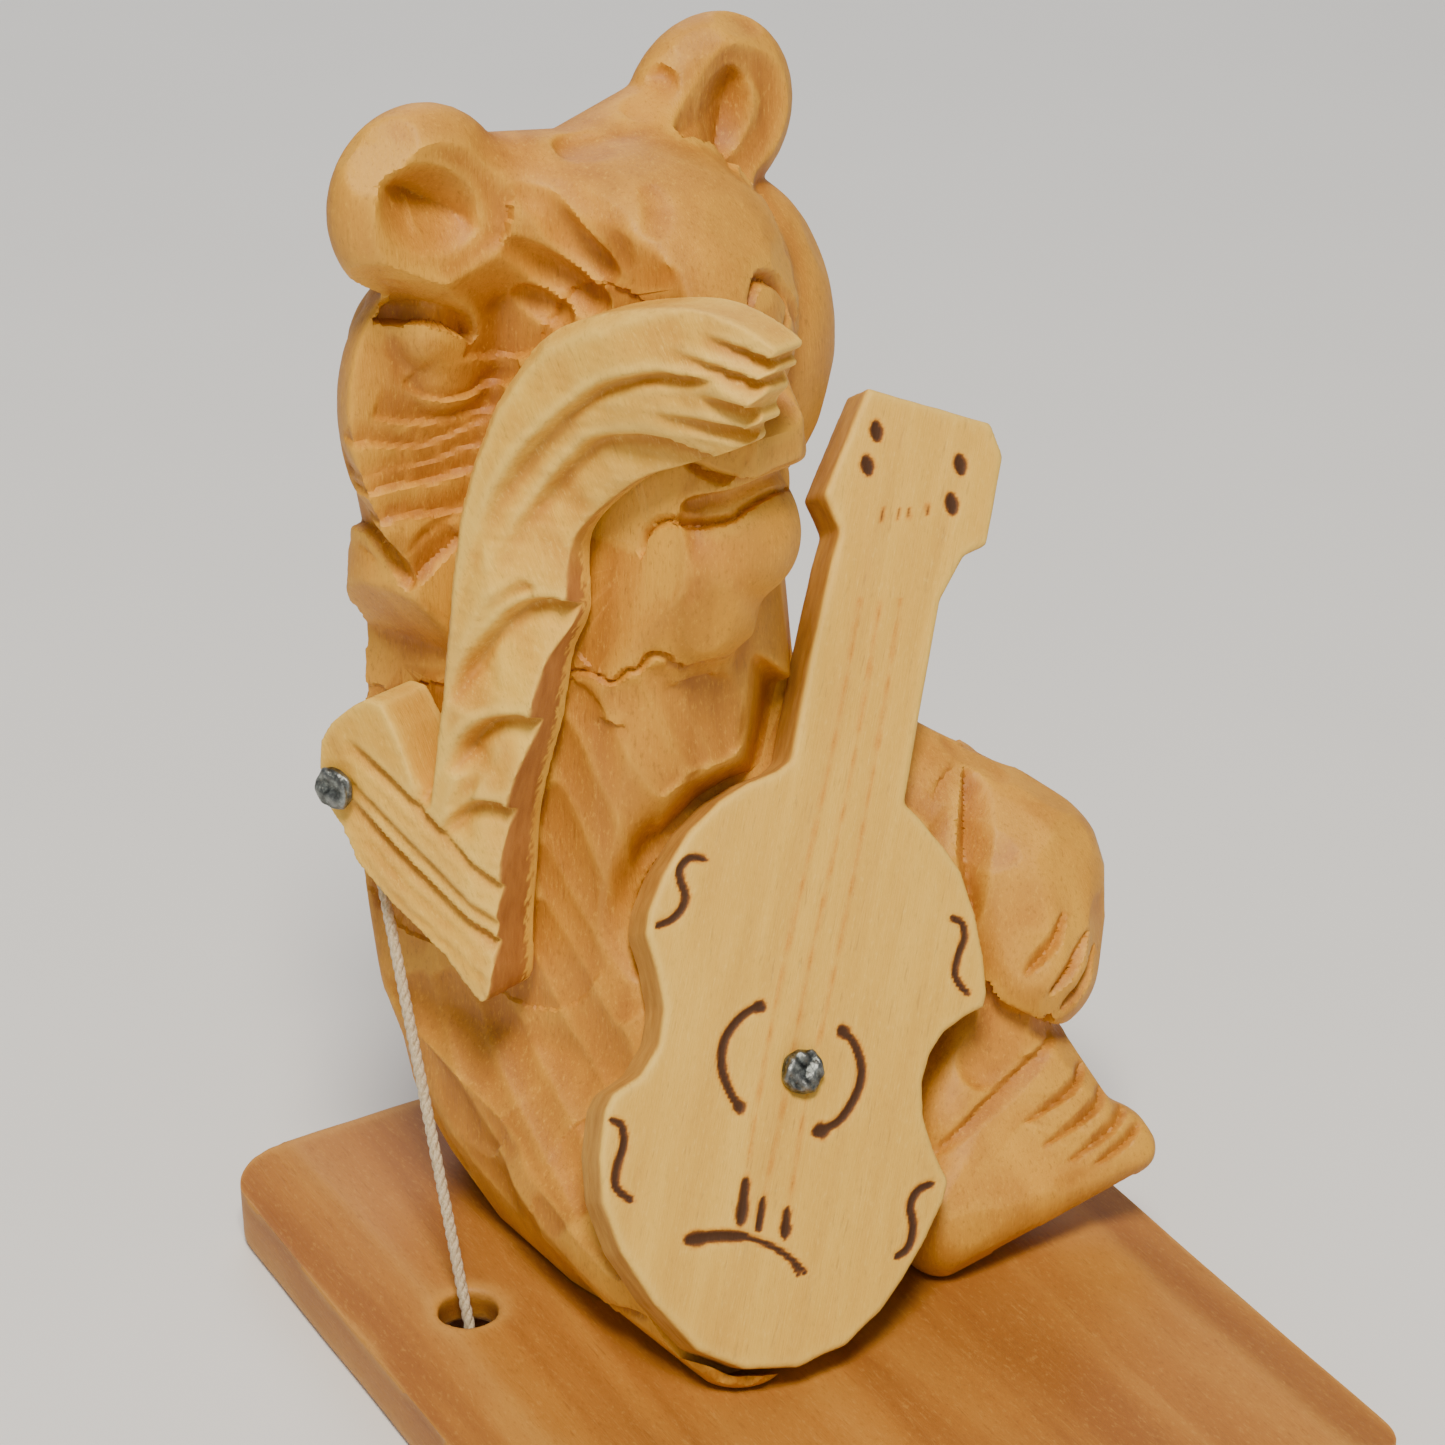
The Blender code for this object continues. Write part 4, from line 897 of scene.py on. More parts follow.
def makeBear():
    bm = bmesh.new()
    trunkForms(bm)
    tilted(bm, headForms)
    block = remeshed(meshFrom(bm, "block"), bearLook["blockVoxel"], 2, "block")
    bouts = violinBed((-20, -12), (-19.8, 13), (-17.2, 20), (-13.5, 25), (-8.8, 28.6), (6, 28.6), (6, -23),
                      (-9, -23), (-17, -19))
    neck = violinBed((-8.8, 20), (-8.8, 38), (6, 38), (6, 20))
    block = cutAway(block, [pocket(9.8, 64, 10, 57), pocket(-14, 64, -24, 14), bouts, neck], "block")
    bm = bmesh.new()
    tilted(bm, earForms)
    bm.from_mesh(block)
    mesh = remeshed(meshFrom(bm, "bear", False), bearLook["skinVoxel"], 10, "bear")
    skin = Skin(mesh)
    skin.melt(6.5, 150, (-14.5, 6.5, 109), (-12.1, 5.6, 110.2), (-9.5, 3.5, 108.7), (-7.1, 1.4, 106.2),
              (-5.5, -2.1, 102.8), (11.5, 6.2, 112.5), (8.0, 4.5, 111), (12.8, 5.0, 107))
    skin.melt(6.0, 120, (-12.5, 8.5, 103), (-13, 9, 99.5), (-14, 9.5, 96), (-9.5, 7.0, 100.5))
    skin.melt(7.0, 120, (-9.5, -9.0, 60), (-10.5, -10.0, 53), (-12.5, -10.5, 45), (-14.0, -11.5, 37),
              (-16, -13, 29), (-3, -12.5, 62), (-5, -11.8, 67))
    skin.facets(bearLook["facetSize"], bearLook["facetDepth"], 11)
    skin.settle()
    carveEars(skin)
    carveHead(skin)
    carveTrunk(skin)
    skin.settle()
    mesh = thinned(mesh, bearLook["triangles"], "bear")
    inner = -places["armThickness"] - places["armGap"]
    under = -places["violinThickness"] - places["violinGap"]
    toBear = bearFrame.inverted()
    mesh = cutAway(mesh, [
        plateMesh([(-99, -99), (99, -99), (99, 99), (-99, 99)], -99, 0, "cutter"),
        plateMesh(grownRing(armRing(), places["armGap"]), inner, 60, "cutter", toBear @ armFrame),
        plateMesh(grownRing(violinRing(), places["armGap"]), under, 99, "cutter", toBear @ violinFrame),
    ], "bear")
    mesh.transform(inMetres @ bearFrame)
    smoothed(mesh, 5, 7000)
    mesh.set_sharp_from_angle(angle=math.radians(bearLook["crease"]))
    return dressed("bearPiece", mesh, woodFinish("bearWood", bearLook["wood"], (math.radians(90), 0, 0)),
                   "bear", "bear")


# Raised arm: a flat sawn board, scalloped like fur, its paw planed thin
armLook = {
    "voxel": 0.33, "triangles": 150000,
    "outline": [
        (0.5, -3.9), (-1.7, -1.6), (-2.3, 1.2), (-2.4, 4.3), (-0.1, 7.7), (4.7, 10.1), (10.2, 1.8),
        (10.6, 7.6), (11, 12.4), (11.3, 22.7), (11.9, 30.9), (13.3, 37.2), (15.2, 42.6), (17.8, 47),
        (20.6, 50.6), (25.4, 53.4), (30.7, 55.2), (35.8, 56.2), (40.2, 55.7), (44.2, 54.1), (42.9, 52.8),
        (43.8, 52), (42.2, 50.8), (43.1, 49.9), (41.8, 48), (42.5, 46.9), (40.6, 45.6), (40.8, 44.2),
        (34.7, 40.8), (30.4, 38.7), (27.3, 36.2), (24.1, 32.7), (22.8, 29.4), (23.4, 23.2), (22, 19),
        (21.6, 15.7), (21.2, 11.8), (20.2, 6.9), (19.6, 3.5), (19.2, 0.3), (19.3, -4), (19.2, -10),
        (19.6, -15.6), (18.4, -17.2), (14, -13.9), (7.7, -10.5), (2.8, -7.2)],
    "backEdge": (6, 19), "frontEdge": (27, 42),
    # hollow colours: painted shade in the hollows; ridge light: pale worn fibres and painted highlight
    "wood": {"bandScale": 0.22, "dark": (0.64, 0.300, 0.026), "middle": (0.75, 0.395, 0.040),
             "light": (0.83, 0.495, 0.062), "patchy": 1.2, "patch": (0.60, 0.310, 0.040), "flecks": 0.34,
             "fleck": (0.40, 0.190, 0.030), "pale": (0.90, 0.62, 0.13), "hollowShadeDepth": 0.55,
             "hollow": (0.60, 0.38, 0.15), "ridgeWearAndHighlightStrength": 0.5, "roughness": 0.56, "coat": 0.02,
             "bump": 0.12, "speckle": 0.36,
             # sawn colours: saw-cut faces with painted shade
             "sawnAndShadedDark": (0.36, 0.130, 0.022), "sawnAndShadedLight": (0.47, 0.190, 0.036)},
}


def armRing():
    return [Vector(p) for p in armLook["outline"]]


def grownRing(ring, gap):  # outline pushed outwards by the gap
    area = sum(a.x * b.y - b.x * a.y for a, b in zip(ring, ring[1:] + ring[:1]))
    way = math.copysign(1.0, area)
    wider = []
    for i, p in enumerate(ring):
        a = (p - ring[i - 1]).normalized()
        b = (ring[(i + 1) % len(ring)] - p).normalized()
        side = Vector((a.y + b.y, -a.x - b.x)) * way
        share = max(side.length / 2, 0.35)
        wider.append(p + side.normalized() * (gap / share))
    return wider


def fromLine(points, line):  # distance, which side of the line and how far along, in the plate's plan
    best = np.full(len(points), np.inf)
    hand, along = np.zeros(len(points)), np.zeros(len(points))
    for k, (a, b) in enumerate(zip(line[:-1], line[1:])):
        run = b - a
        share = np.clip(((points - a) @ run) / (run @ run), 0, 1)
        apart = points - a - share[:, None] * run
        gap = np.linalg.norm(apart, axis=1)
        side = run[0] * (points - a)[:, 1] - run[1] * (points - a)[:, 0]
        closer = gap < best
        best = np.where(closer, gap, best)
        hand = np.where(closer, np.sign(side), hand)
        along = np.where(closer, (k + share) / (len(line) - 1), along)
    return best, hand, along


class Plan:  # what the tools take off a flat plate, as a share of its thickness
    def __init__(self, points):
        self.points = points
        self.taken = np.zeros(len(points))

    def flute(self, path, width, depth, grows=0.15):
        gap, _, along = fromLine(self.points, smoothLine(path))
        fade = np.clip(along / grows, 0, 1)
        self.taken = np.maximum(self.taken, depth * (fade - (gap / (width / 2)) ** 2))

    def shingle(self, path, length, depth, steep, grows, curve=1.0):  # steep step on the path's right hand
        gap, hand, along = fromLine(self.points, smoothLine(path))
        share = np.clip(1 - gap / length, 0, 1) ** curve * np.clip(gap / steep, 0, 1)
        self.taken = np.maximum(self.taken, depth * share * np.clip(along / grows, 0, 1) * (hand < 0))


def armHeight(plan):
    outline = np.array(armLook["outline"])
    back, _, _ = fromLine(plan, outline[armLook["backEdge"][0]:armLook["backEdge"][1]])
    front, _, _ = fromLine(plan, outline[armLook["frontEdge"][0]:armLook["frontEdge"][1]])
    up = plan[:, 1]
    edge = np.interp(up, (14, 24, 34), (0.86, 0.60, 0.34))
    height = np.minimum(1.0, edge + np.interp(up, (18, 34), (0.05, 0.085)) * front)
    height = np.minimum(height, 0.80 + 0.16 * back)
    height = np.minimum(height, np.interp(plan[:, 0], (24, 44), (1.0, 0.60)) + 0.018 * (56 - up))
    tool = Plan(plan)
    for start, end, fall in (((36.4, 54.6), (47, 52.7), 2.3), ((33.4, 52.6), (47, 50.6), 2.3),
                             ((31.6, 49.0), (46, 48.3), 2.3), ((30.6, 46.4), (45, 45.6), 2.0)):
        tool.shingle([start, end], fall, 0.42, 0.5, 0.75, 0.8)
    tool.shingle([(12.0, 20.0), (15.2, 31.9), (17.2, 36.4), (19.3, 39.8), (21.9, 42.8), (24.3, 45.2),
                  (27.4, 47.9), (32.4, 50.0), (35.0, 50.2)], 5.2, 0.30, 0.6, 0.3, 1.2)
    tool.shingle([(15.0, 24.4), (17.6, 30.9), (19.7, 34.8), (21.7, 37.8), (23.6, 40.1), (25.4, 41.9),
                  (28.7, 42.9), (32.2, 43.4), (36.0, 42.4)], 4.6, 0.34, 0.6, 0.3, 1.2)
    for path, fall, deep, steep in (
            ([(12.2, 12.6), (13.6, 16.8), (16.0, 21.0), (19.0, 24.3), (22.4, 25.0), (25.7, 23.8)],
             8.6, 0.42, 0.8),
            ([(12.6, 5.6), (14.0, 9.2), (16.4, 11.9), (19.8, 13.2), (23.0, 12.6)], 7.4, 0.42, 0.8),
            ([(12.0, -1.4), (14.6, 2.6), (18.0, 3.8), (21.4, 2.4)], 5.6, 0.32, 0.7)):
        tool.shingle(path, fall, deep, steep, 0.2, 1.2)
    for path in ([(20.4, 26.0), (17.0, 22.6), (14.0, 14.0)], [(19.6, 10.4), (16.6, 7.4), (14.4, 1.8)]):
        tool.flute(path, 2.6, 0.12)
    for i, (deep, wide) in enumerate(((0.20, 2.4), (0.07, 1.4), (0.12, 2.2), (0.24, 3.0), (0.12, 2.2),
                                      (0.06, 1.4))):
        tool.shingle([(0.8, 5.6 - 1.9 * i), (7.0, 2.6 - 2.2 * i), (13.5, -1.2 - 2.1 * i),
                      (20.8, -5.6 - 1.9 * i)], wide, deep, 0.6, 0.2)
    return height - tool.taken


def makeArm():
    thick = places["armThickness"]
    ring = [tuple(p) for p in smoothLine(armLook["outline"] + armLook["outline"][:1], 3)[:-1]]
    mesh = remeshed(plateMesh(ring, -thick, 0, "arm"), armLook["voxel"], 2, "arm")
    points = pointsOf(mesh)
    depth = np.clip((points[:, 2] + thick) / thick, 0, 1)
    share = armHeight(points[:, :2])
    rough = 0.006 * wave(points * (0.5, 1.6, 1), 1.6, 5) + 0.008 * wave(points, 5.0, 6)
    points[:, 2] = -thick + (points[:, 2] + thick) * np.clip(share + rough * (depth > 0.4), 0.1, 1)
    putPoints(mesh, points)
    normals = normalsOf(mesh)
    # the front edge strip painted darker, most on the lower arm: its sawn surface and painted shade on the
    # edge turned from the light
    lower = np.clip((30 - points[:, 1]) / 8, 0, 1)
    rim = np.array(armLook["outline"])[armLook["frontEdge"][0]:armLook["frontEdge"][1] + 2]
    gap, _, _ = fromLine(points[:, :2], rim)
    sawn = np.clip(1.4 - np.abs(normals[:, 2]) * 2.2, 0, 1) * (gap < 1.4) * np.clip(lower + 0.55, 0, 1)
    # light fibres left along the inner edge
    torn = -thick + 1.35 + 0.45 * wave(points * (0.3, 1.6, 1), 0.9, 12)
    putValue(mesh, "sawn", sawn * np.clip((points[:, 2] - torn) * 4, 0, 1))
    mesh = thinned(mesh, armLook["triangles"], "arm")
    mesh.transform(inMetres @ armFrame)
    smoothed(mesh, 7, 6500)
    turn = armFrame.to_3x3() @ Matrix.Rotation(math.radians(32), 3, "Z")
    finish = woodFinish("armWood", armLook["wood"], turn.to_euler(), sawn=True)
    return dressed("armPiece", mesh, finish, "arm", "right_arm")


# Violin: a flat plate with its marks burnt in
violinLook = {
    "voxel": 0.34, "triangles": 160000, "edge": 0.5,
    "right": [(6.9, 68.4), (8.9, 65.5), (9.1, 56), (6.8, 54.3), (5.2, 49.2), (5.4, 39.2), (5.6, 28.4),
              (7.6, 27.4), (10.5, 25.3), (12.9, 23.3), (15.3, 19.6), (17.1, 15.6), (18.2, 12), (18.1, 10.5),
              (16.2, 9), (14.5, 7.2), (13.4, 4.6), (13.2, 1.8), (14, -1.4), (15.7, -4.2), (17.9, -7),
              (17.8, -9.2), (16.6, -13.4), (15.1, -17.4), (13.4, -20.9), (10.5, -24.8), (5.9, -27.9),
              (0.4, -29.2)],
    "left": [(-7, 68.2), (-9.4, 56.3), (-6.9, 53.2), (-7.2, 49.8), (-7.4, 39.7), (-7.3, 29.6), (-8.4, 28.2),
             (-11.2, 26.4), (-13.7, 23.9), (-16.1, 20.3), (-17.9, 15.6), (-18.6, 11.6), (-18.4, 9.4),
             (-16.6, 6.4), (-15, 2.8), (-14.8, -0.6), (-16, -3.8), (-18.4, -6.2), (-18.9, -8),
             (-18.5, -12.4), (-17.2, -16.6), (-14.2, -21), (-10, -24.9), (-4.6, -28.4)],
    # hollow colours: painted shade in the hollows; ridge light: pale worn fibres and painted highlight
    "wood": {"bandScale": 0.30, "dark": (0.66, 0.360, 0.044), "middle": (0.72, 0.405, 0.050),
             "light": (0.79, 0.475, 0.068), "patchy": 0.9, "patch": (0.66, 0.345, 0.040), "flecks": 0.55,
             "fleck": (0.48, 0.255, 0.042), "pale": (0.86, 0.60, 0.13), "hollowShadeDepth": 0.5,
             "hollow": (0.6, 0.42, 0.22), "ridgeWearAndHighlightStrength": 0.5, "roughness": 0.58, "coat": 0.02,
             "bump": 0.10, "speckle": 0.30,
             # sawn colours: saw-cut faces with painted shade
             "sawnAndShadedDark": (0.46, 0.205, 0.026), "sawnAndShadedLight": (0.58, 0.290, 0.046)},
    "marks": [  # path, width, how deep the burn
        ([(-14, 17.9), (-15.5, 17.7), (-16.3, 16.5), (-16, 15.3), (-15.2, 14), (-15.3, 12.7), (-16.1, 11.4),
          (-17.4, 10.5)], 0.95, 1),
        ([(12.8, 18.4), (14, 18.1), (14.5, 16.8), (14.2, 14.7), (14.2, 13.2), (15, 12.1), (16, 11.5)],
         0.85, 1),
        ([(-18, -8.7), (-16.9, -9), (-16.3, -10.7), (-16.5, -12.7), (-16.4, -14.4), (-15.7, -15.2),
          (-14.4, -15.7)], 0.95, 1),
        ([(16, -7.7), (14.7, -8.6), (14.2, -10.2), (14.8, -11.8), (15, -13.2), (14.7, -14.5),
          (13.8, -15.4)], 1, 1),
        ([(-5.6, 5.3), (-7.2, 3.7), (-8.3, 1.3), (-8.1, -1.1), (-7, -3.1), (-5.5, -4.7)], 1.05, 1),
        ([(-5.6, 5.3), (-5.2, 5.2)], 1.7, 1), ([(-5.6, -4.4), (-5.3, -4.9)], 1.7, 0.9),
        ([(3.6, 5), (5.2, 3.8), (6.4, 1.6), (6.3, -0.9), (5.1, -3.7), (3.5, -4.9)], 1.05, 1),
        ([(3.5, 5), (3.9, 4.6)], 1.7, 1), ([(3, -5.3), (3.8, -4.9)], 1.9, 1),
        ([(-7.8, -18.2), (-5.3, -17.3), (-2.3, -16.7)], 1.35, 1),
        ([(-2.3, -16.7), (0.4, -17), (2.8, -17.8), (4.6, -18.8)], 0.7, 0.95),
        ([(2.6, -17.6), (3.4, -18.5), (4.1, -19.3)], 0.5, 0.8), ([(-7.9, -18.2), (-6.2, -17.6)], 1.8, 0.9),
        ([(-3.3, -11.4), (-3, -15.2)], 1.15, 1), ([(-3.1, -13.4), (-3, -15.4)], 1.6, 0.9),
        ([(-1.2, -12.9), (-1, -15.8)], 0.9, 1), ([(1.5, -13.3), (1.8, -15.9)], 1, 1),
        ([(1.7, -14.6), (1.8, -15.6)], 1.4, 1),
        ([(-5.4, 64.6), (-5, 63.4)], 1.7, 1), ([(-5.7, 60.9), (-5.2, 59.8)], 1.7, 1),
        ([(4.1, 63.8), (4.6, 62.6)], 1.7, 1), ([(4, 59.7), (4.5, 58.4)], 1.7, 1),
        ([(-2.9, 56.5), (-2.8, 55.3)], 0.6, 0.42), ([(-1.2, 57), (-1.1, 55.9)], 0.5, 0.36),
        ([(-0.2, 57.4), (0, 56.3)], 0.55, 0.42), ([(1.7, 58.3), (1.9, 57.2)], 0.6, 0.45)],
    "lines": [  # faint strings, drawn with the cool tip
        [(-3.4, 46.9), (-3.2, 30.6), (-3.8, 10.3), (-3.8, 0.3), (-3.5, -8.5), (-3.2, -12.5)],
        [(-1.3, 47.5), (-0.8, 29.2), (-1.2, 10.9), (-1, -2), (-1.1, -9.9), (-1, -13.6)],
        [(0.8, 48.1), (1.5, 29.7), (1.5, 9.5), (1.2, -1.5), (1.5, -9.4), (1.6, -13.7)]],
}


def violinRing():
    return [Vector(p) for p in violinLook["right"] + violinLook["left"][::-1]]


def makeViolin():
    thick = places["violinThickness"]
    bm = bmesh.new()
    bm.from_mesh(plateMesh(violinRing(), -thick, 0, "violin"))
    rim = [e for e in bm.edges if abs(e.verts[0].co.z - e.verts[1].co.z) < 0.01]
    bmesh.ops.bevel(bm, geom=rim, offset=violinLook["edge"], segments=2, profile=0.5, affect="EDGES")
    mesh = remeshed(meshFrom(bm, "violin"), violinLook["voxel"], 4, "violin")
    points = pointsOf(mesh)
    front = points[:, 2] > -0.6
    plan = points[front, :2]
    burn = np.zeros(len(plan))
    for path, width, deep in violinLook["marks"]:
        gap, _, along = fromLine(plan, smoothLine(path))
        narrow = width * (0.27 + 0.13 * np.sin(np.pi * np.clip(along, 0, 1)) ** 0.5)
        burn = np.maximum(burn, deep * np.clip(1.45 - gap / narrow, 0, 1))
    for path in violinLook["lines"]:
        gap, _, _ = fromLine(plan, smoothLine(path))
        strength = 0.16 + 0.10 * np.sin(plan[:, 1] * 1.7 + path[0][0]) * np.sin(plan[:, 1] * 0.43)
        burn = np.maximum(burn, strength * np.clip(1.4 - gap / 0.28, 0, 1))
    whole = np.zeros(len(points))
    whole[front] = burn
    points[front, 2] -= 0.28 * np.clip(burn * 1.6 - 0.5, 0, 1)
    points += normalsOf(mesh) * (0.03 * wave(points * (1.4, 0.5, 1), 3.2, 8) - 0.06)[:, None]
    putPoints(mesh, points)
    putValue(mesh, "burn", whole)
    # the side faces painted darker: their sawn surface and painted shade
    putValue(mesh, "sawn", np.clip(1.3 - np.abs(normalsOf(mesh)[:, 2]) * 2.0, 0, 1))
    mesh.transform(inMetres @ violinFrame)
    mesh = thinned(mesh, violinLook["triangles"], "violin")
    smoothed(mesh, 7, 6500)
    turn = violinFrame.to_3x3().to_euler()
    finish = woodFinish("violinWood", violinLook["wood"], turn, burnt=True, sawn=True)
    return dressed("violinPiece", mesh, finish, "violin", "violin")


makeBear()
print("bear carved")
makeArm()
print("arm carved")
makeViolin()
print("violin burnt")

# Nails: hammered grey heads
nailLook = {"shank": 1.8, "head": 4.6, "headThickness": 1.2, "under": 0.3, "inBody": 9.0, "tip": 1.8,
            "dents": 0.16}


def steelFinish():
    made = Finish("nailSteel")
    spots = made.noise(made.place(), 1.3, 4.0, 0.65)
    fine = made.noise(made.place(), 5.0, 3.0, 0.6)
    tone = made.ramp(spots, (0.32, (0.04, 0.04, 0.036)), (0.52, (0.13, 0.142, 0.133)),
                     (0.72, (0.34, 0.37, 0.34)))
    rust = made.step(fine, 0.60, 0.75)
    tone = made.mixed(rust * 0.35, tone, colour(0.20, 0.13, 0.07))
    # ridges painted paler steel: a painted highlight on the head's edges
    tone = made.mixed(made.value("ridge"), tone, colour(0.72, 0.74, 0.72))
    made.set(Base_Color=tone, Metallic=1.0 - rust * 0.5, Roughness=spots * 0.35 + 0.22)
    made.bumped(fine, 0.06 * mm)
    return made.material


steel = steelFinish()


def makeNail(name, place, seed, node):
    half, shank, low = nailLook["head"] / 2, nailLook["shank"] / 2, nailLook["under"]
    top = low + nailLook["headThickness"]
    profile = [(0, top), (half * 0.35, top), (half * 0.66, top - 0.03), (half * 0.88, top - 0.22),
               (half, top - 0.6), (half * 0.97, low + 0.1), (half * 0.9, low), (shank, low),
               (shank, -nailLook["inBody"]), (0, -nailLook["inBody"] - nailLook["tip"])]
    bm = bmesh.new()
    verts = [bm.verts.new((x, 0, z)) for x, z in profile]
    edges = [bm.edges.new(pair) for pair in zip(verts, verts[1:])]
    bmesh.ops.spin(bm, geom=verts + edges, cent=(0, 0, 0), axis=(0, 0, 1), angle=2 * math.pi, steps=32,
                   use_merge=True)
    bmesh.ops.remove_doubles(bm, verts=bm.verts, dist=1e-4)
    head = [e for e in bm.edges if min(v.co.z for v in e.verts) > low - 0.01]
    bmesh.ops.subdivide_edges(bm, edges=head, cuts=2, use_grid_fill=True)
    mesh = meshFrom(bm, name)
    points = pointsOf(mesh)
    upper = np.clip((points[:, 2] - low) / 0.5, 0, 1)
    dents = nailLook["dents"] * (wave(points, 1.7, seed) - 0.9)
    points += normalsOf(mesh) * (dents * upper)[:, None]
    points[:, :2] *= (1 - 0.03 * np.abs(wave(points, 3.0, seed + 1)))[:, None]
    putPoints(mesh, points)
    mesh.transform(inMetres @ place)
    smoothed(mesh, 2, 5000)
    return dressed(name, mesh, steel, "steel", node)


makeNail("armNailPiece", armFrame, 21, "arm_nail")
makeNail("violinNailPiece", violinFrame, 34, "violin_nail")
print("nails driven")

# String: soft twisted cotton from the arm's tail through the board to its knot
stringLook = {"diameter": 1.2, "inArm": 2.5, "start": (2.0, -5.6, -3.4), "intoRecess": 0.3,
              "plies": 3, "twist": 3.6, "around": 30, "ringGap": 0.16, "fuzz": 0.12,
              "knotWidth": 6.6, "knotHeight": 3.6, "knotDrop": 2.6, "knotVoxel": 0.16, "knotSteps": 90}


def stringEnds():
    top = armFrame @ Vector(stringLook["start"])
    x, y = places["stringHole"]
    recess = boardLook["recessDepth"]
    run = (Vector((x, y, (places["boardSize"][2] + recess) / 2)) - top).normalized()
    foot = top + run * ((recess - stringLook["intoRecess"] - top.z) / run.z)
    return top, foot, run


def cottonFinish():
    made = Finish("cotton")
    hairs = made.noise(made.place(stretch=(1, 1, 0.35)), 5.0, 3.0, 0.6)
    tone = made.ramp(hairs, (0.30, (0.36, 0.27, 0.15)), (0.50, (0.56, 0.45, 0.28)),
                     (0.70, (0.70, 0.58, 0.40)))
    # painted shade: the twist's grooves darkened by the curvature mask
    tone = made.mixed((made.value("hollow") * 0.8).clipped(), tone, colour(0.62, 0.54, 0.44), "MULTIPLY")
    made.set(Base_Color=tone, Roughness=0.9, Specular_IOR_Level=0.2, Sheen_Weight=0.25)
    made.bumped(hairs, 0.05 * mm)
    return made.material


cotton = cottonFinish()


def twistTree():  # lobed round profile, turned as it follows the line
    tree = bpy.data.node_groups.new("twistedString", "GeometryNodeTree")
    for name, kind in (("Geometry", "Geometry"), ("Diameter", "Float"), ("Plies", "Int"), ("Turn", "Float"),
                       ("Rings", "Int"), ("Around", "Int"), ("Fuzz", "Float"), ("Material", "Material")):
        tree.interface.new_socket(name=name, in_out="INPUT", socket_type="NodeSocket" + kind)
    tree.interface.new_socket(name="Geometry", in_out="OUTPUT", socket_type="NodeSocketGeometry")
    given = tree.nodes.new("NodeGroupInput").outputs

    def feed(socket, source):
        if isinstance(source, bpy.types.NodeSocket):
            tree.links.new(source, socket)
        else:
            socket.default_value = source

    def node(kind, **links):
        made = tree.nodes.new(kind)
        for name, source in links.items():
            feed(made.inputs[name.replace("_", " ")], source)
        return made

    def maths(operation, *sources):
        made = tree.nodes.new("ShaderNodeMath")
        made.operation = operation
        for socket, source in zip(made.inputs, sources):
            feed(socket, source)
        return made.outputs[0]

    def scaled(vector, share):
        made = node("ShaderNodeVectorMath", Vector=vector)
        made.operation = "SCALE"
        feed(made.inputs["Scale"], share)
        return made.outputs[0]

    index = node("GeometryNodeInputIndex").outputs[0]
    ring = node("GeometryNodeCurvePrimitiveCircle", Resolution=given["Around"],
                Radius=maths("MULTIPLY", given["Diameter"], 0.5)).outputs[0]
    angle = maths("MULTIPLY", maths("DIVIDE", maths("MULTIPLY", index, math.pi), given["Around"]),
                  given["Plies"])
    lobe = maths("POWER", maths("ABSOLUTE", maths("COSINE", angle)), 0.7)
    share = maths("MULTIPLY_ADD", lobe, 0.28, 0.72)
    grown = scaled(node("GeometryNodeInputPosition").outputs[0], share)
    profile = node("GeometryNodeSetPosition", Geometry=ring, Position=grown).outputs[0]
    line = node("GeometryNodeMeshToCurve", Mesh=given["Geometry"]).outputs[0]
    line = node("GeometryNodeResampleCurve", Curve=line, Count=given["Rings"]).outputs[0]
    line = node("GeometryNodeSetCurveTilt", Curve=line,
                Tilt=maths("MULTIPLY", index, given["Turn"])).outputs[0]
    swept = node("GeometryNodeCurveToMesh", Curve=line, Profile_Curve=profile, Fill_Caps=True).outputs[0]
    hairs = node("ShaderNodeTexNoise", Scale=2.4, Detail=3.0)
    hairs.noise_dimensions = "4D"
    feed(hairs.inputs["W"], 5.0)
    lift = scaled(node("GeometryNodeInputNormal").outputs[0],
                  maths("MULTIPLY", maths("SUBTRACT", hairs.outputs[0], 0.6), given["Fuzz"]))
    fuzzy = node("GeometryNodeSetPosition", Geometry=swept, Offset=lift).outputs[0]
    real = node("GeometryNodeRealizeInstances", Geometry=fuzzy).outputs[0]
    done = node("GeometryNodeSetMaterial", Geometry=real, Material=given["Material"]).outputs[0]
    tree.links.new(done, tree.nodes.new("NodeGroupOutput").inputs[0])
    return tree


def makeString():
    top, foot, run = stringEnds()
    start = top - run * stringLook["inArm"]
    length = (foot - start).length
    rings = int(length / stringLook["ringGap"])
    line = bpy.data.meshes.new("line")
    line.from_pydata([start, foot], [(0, 1)], [])
    thing = linked("twist", line)
    twist = thing.modifiers.new("twist", "NODES")
    twist.node_group = twistTree()
    values = {"Diameter": stringLook["diameter"], "Plies": stringLook["plies"], "Rings": rings,
              "Turn": 2 * math.pi * length / stringLook["twist"] / rings, "Around": stringLook["around"],
              "Fuzz": stringLook["fuzz"], "Material": cotton}
    for socket in twist.node_group.interface.items_tree:
        if socket.in_out == "INPUT" and socket.name in values:
            twist[socket.identifier] = values[socket.name]
    mesh = evaluated(thing)
    mesh.transform(inMetres)
    smoothed(mesh, 2, 9000)
    path = [tuple(start.lerp(foot, i / 24) * mm) for i in range(25)]
    return dressed("stringPiece", mesh, cotton, "cotton", "string"), path, length * mm


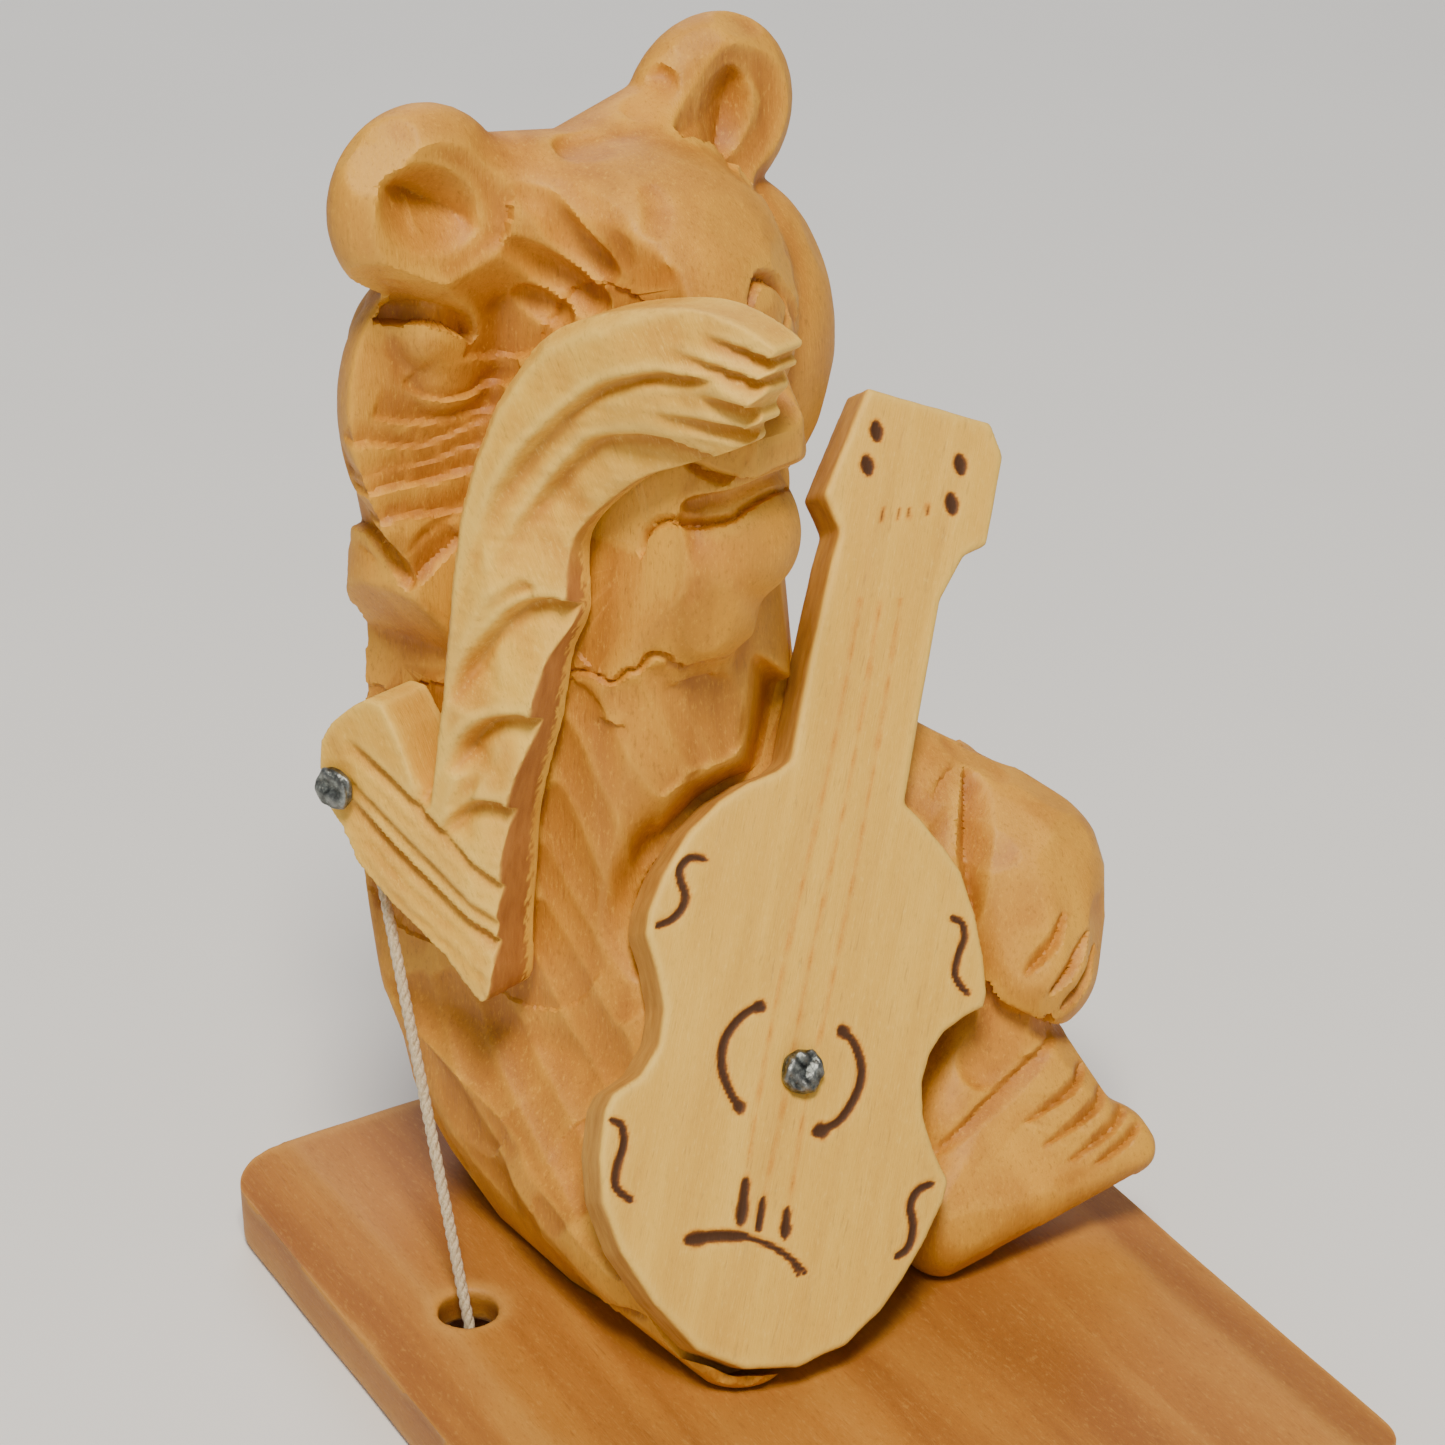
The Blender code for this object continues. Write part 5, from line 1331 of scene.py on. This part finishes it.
def makeKnot():  # an overhand knot pulled tight
    middle = Vector((*places["stringHole"], boardLook["recessDepth"] - stringLook["knotDrop"]))
    radius = stringLook["diameter"] / 2
    wide, tall = stringLook["knotWidth"] / 2 - radius, stringLook["knotHeight"] / 2 - radius
    curve = bpy.data.curves.new("knot", "CURVE")
    curve.dimensions = "3D"
    curve.bevel_depth = radius
    curve.bevel_resolution = 5
    spline = curve.splines.new("POLY")
    spline.use_cyclic_u = True
    count = stringLook["knotSteps"]
    spline.points.add(count - 1)
    for i in range(count):
        t = 2 * math.pi * i / count
        spread = wide * (2 + math.cos(3 * t)) / 3
        spot = middle + Vector((spread * math.cos(2 * t), spread * math.sin(2 * t), tall * math.sin(3 * t)))
        spline.points[i].co = (*spot, 1)
    mesh = remeshed(evaluated(linked("knot", curve)), stringLook["knotVoxel"], 2, "knot")
    mesh.transform(inMetres)
    smoothed(mesh, 4, 9000)
    return dressed("knotPiece", mesh, cotton, "cotton", "string_knot")


knot = makeKnot()
string, stringPath, stringLength = makeString()
print("string tied")

# Floor and light
studio = {
    "floor": (0.80, 0.79, 0.77), "floorSize": 3.0, "sky": (0.93, 0.95, 1.0), "world": 0.32,
    "aim": (0, 0.01, 0.06),
    "lamps": {  # place in metres, size, power, tint
        "key": ((-0.22, -0.36, 0.88), 0.24, 11.0, (1.0, 0.93, 0.82)),
        "fill": ((-0.45, -0.85, 0.30), 0.8, 1.2, (1.0, 0.95, 0.88)),
        "rim": ((0.30, 0.70, 0.60), 0.5, 2.2, (0.95, 0.97, 1.0))},
}


def makeStudio():
    bm = bmesh.new()
    bmesh.ops.create_grid(bm, x_segments=1, y_segments=1, size=studio["floorSize"])
    floor = linked("floor", meshFrom(bm, "floor", False))
    made = Finish("paleFloor")
    cloudy = made.noise(made.place(stretch=(0.02, 0.02, 0.02)), 1.0, 2.0, 0.5)
    made.set(Base_Color=made.ramp(cloudy, (0.3, tuple(c * 0.98 for c in studio["floor"])),
                                  (0.7, studio["floor"])),
             Roughness=0.75)
    floor.data.materials.append(made.material)
    world = bpy.data.worlds.new("studio")
    bpy.context.scene.world = world
    world.use_nodes = True
    background = world.node_tree.nodes["Background"].inputs
    background["Color"].default_value = colour(*studio["sky"])
    background["Strength"].default_value = studio["world"]
    for name, (spot, size, power, tint) in studio["lamps"].items():
        lamp = bpy.data.lights.new(name, "AREA")
        lamp.size = size
        lamp.energy = power
        lamp.color = tint
        light = linked(name, lamp)
        light.location = spot
        light.rotation_euler = (Vector(studio["aim"]) - Vector(spot)).to_track_quat("-Z", "Y").to_euler()


makeStudio()
print("studio lit")
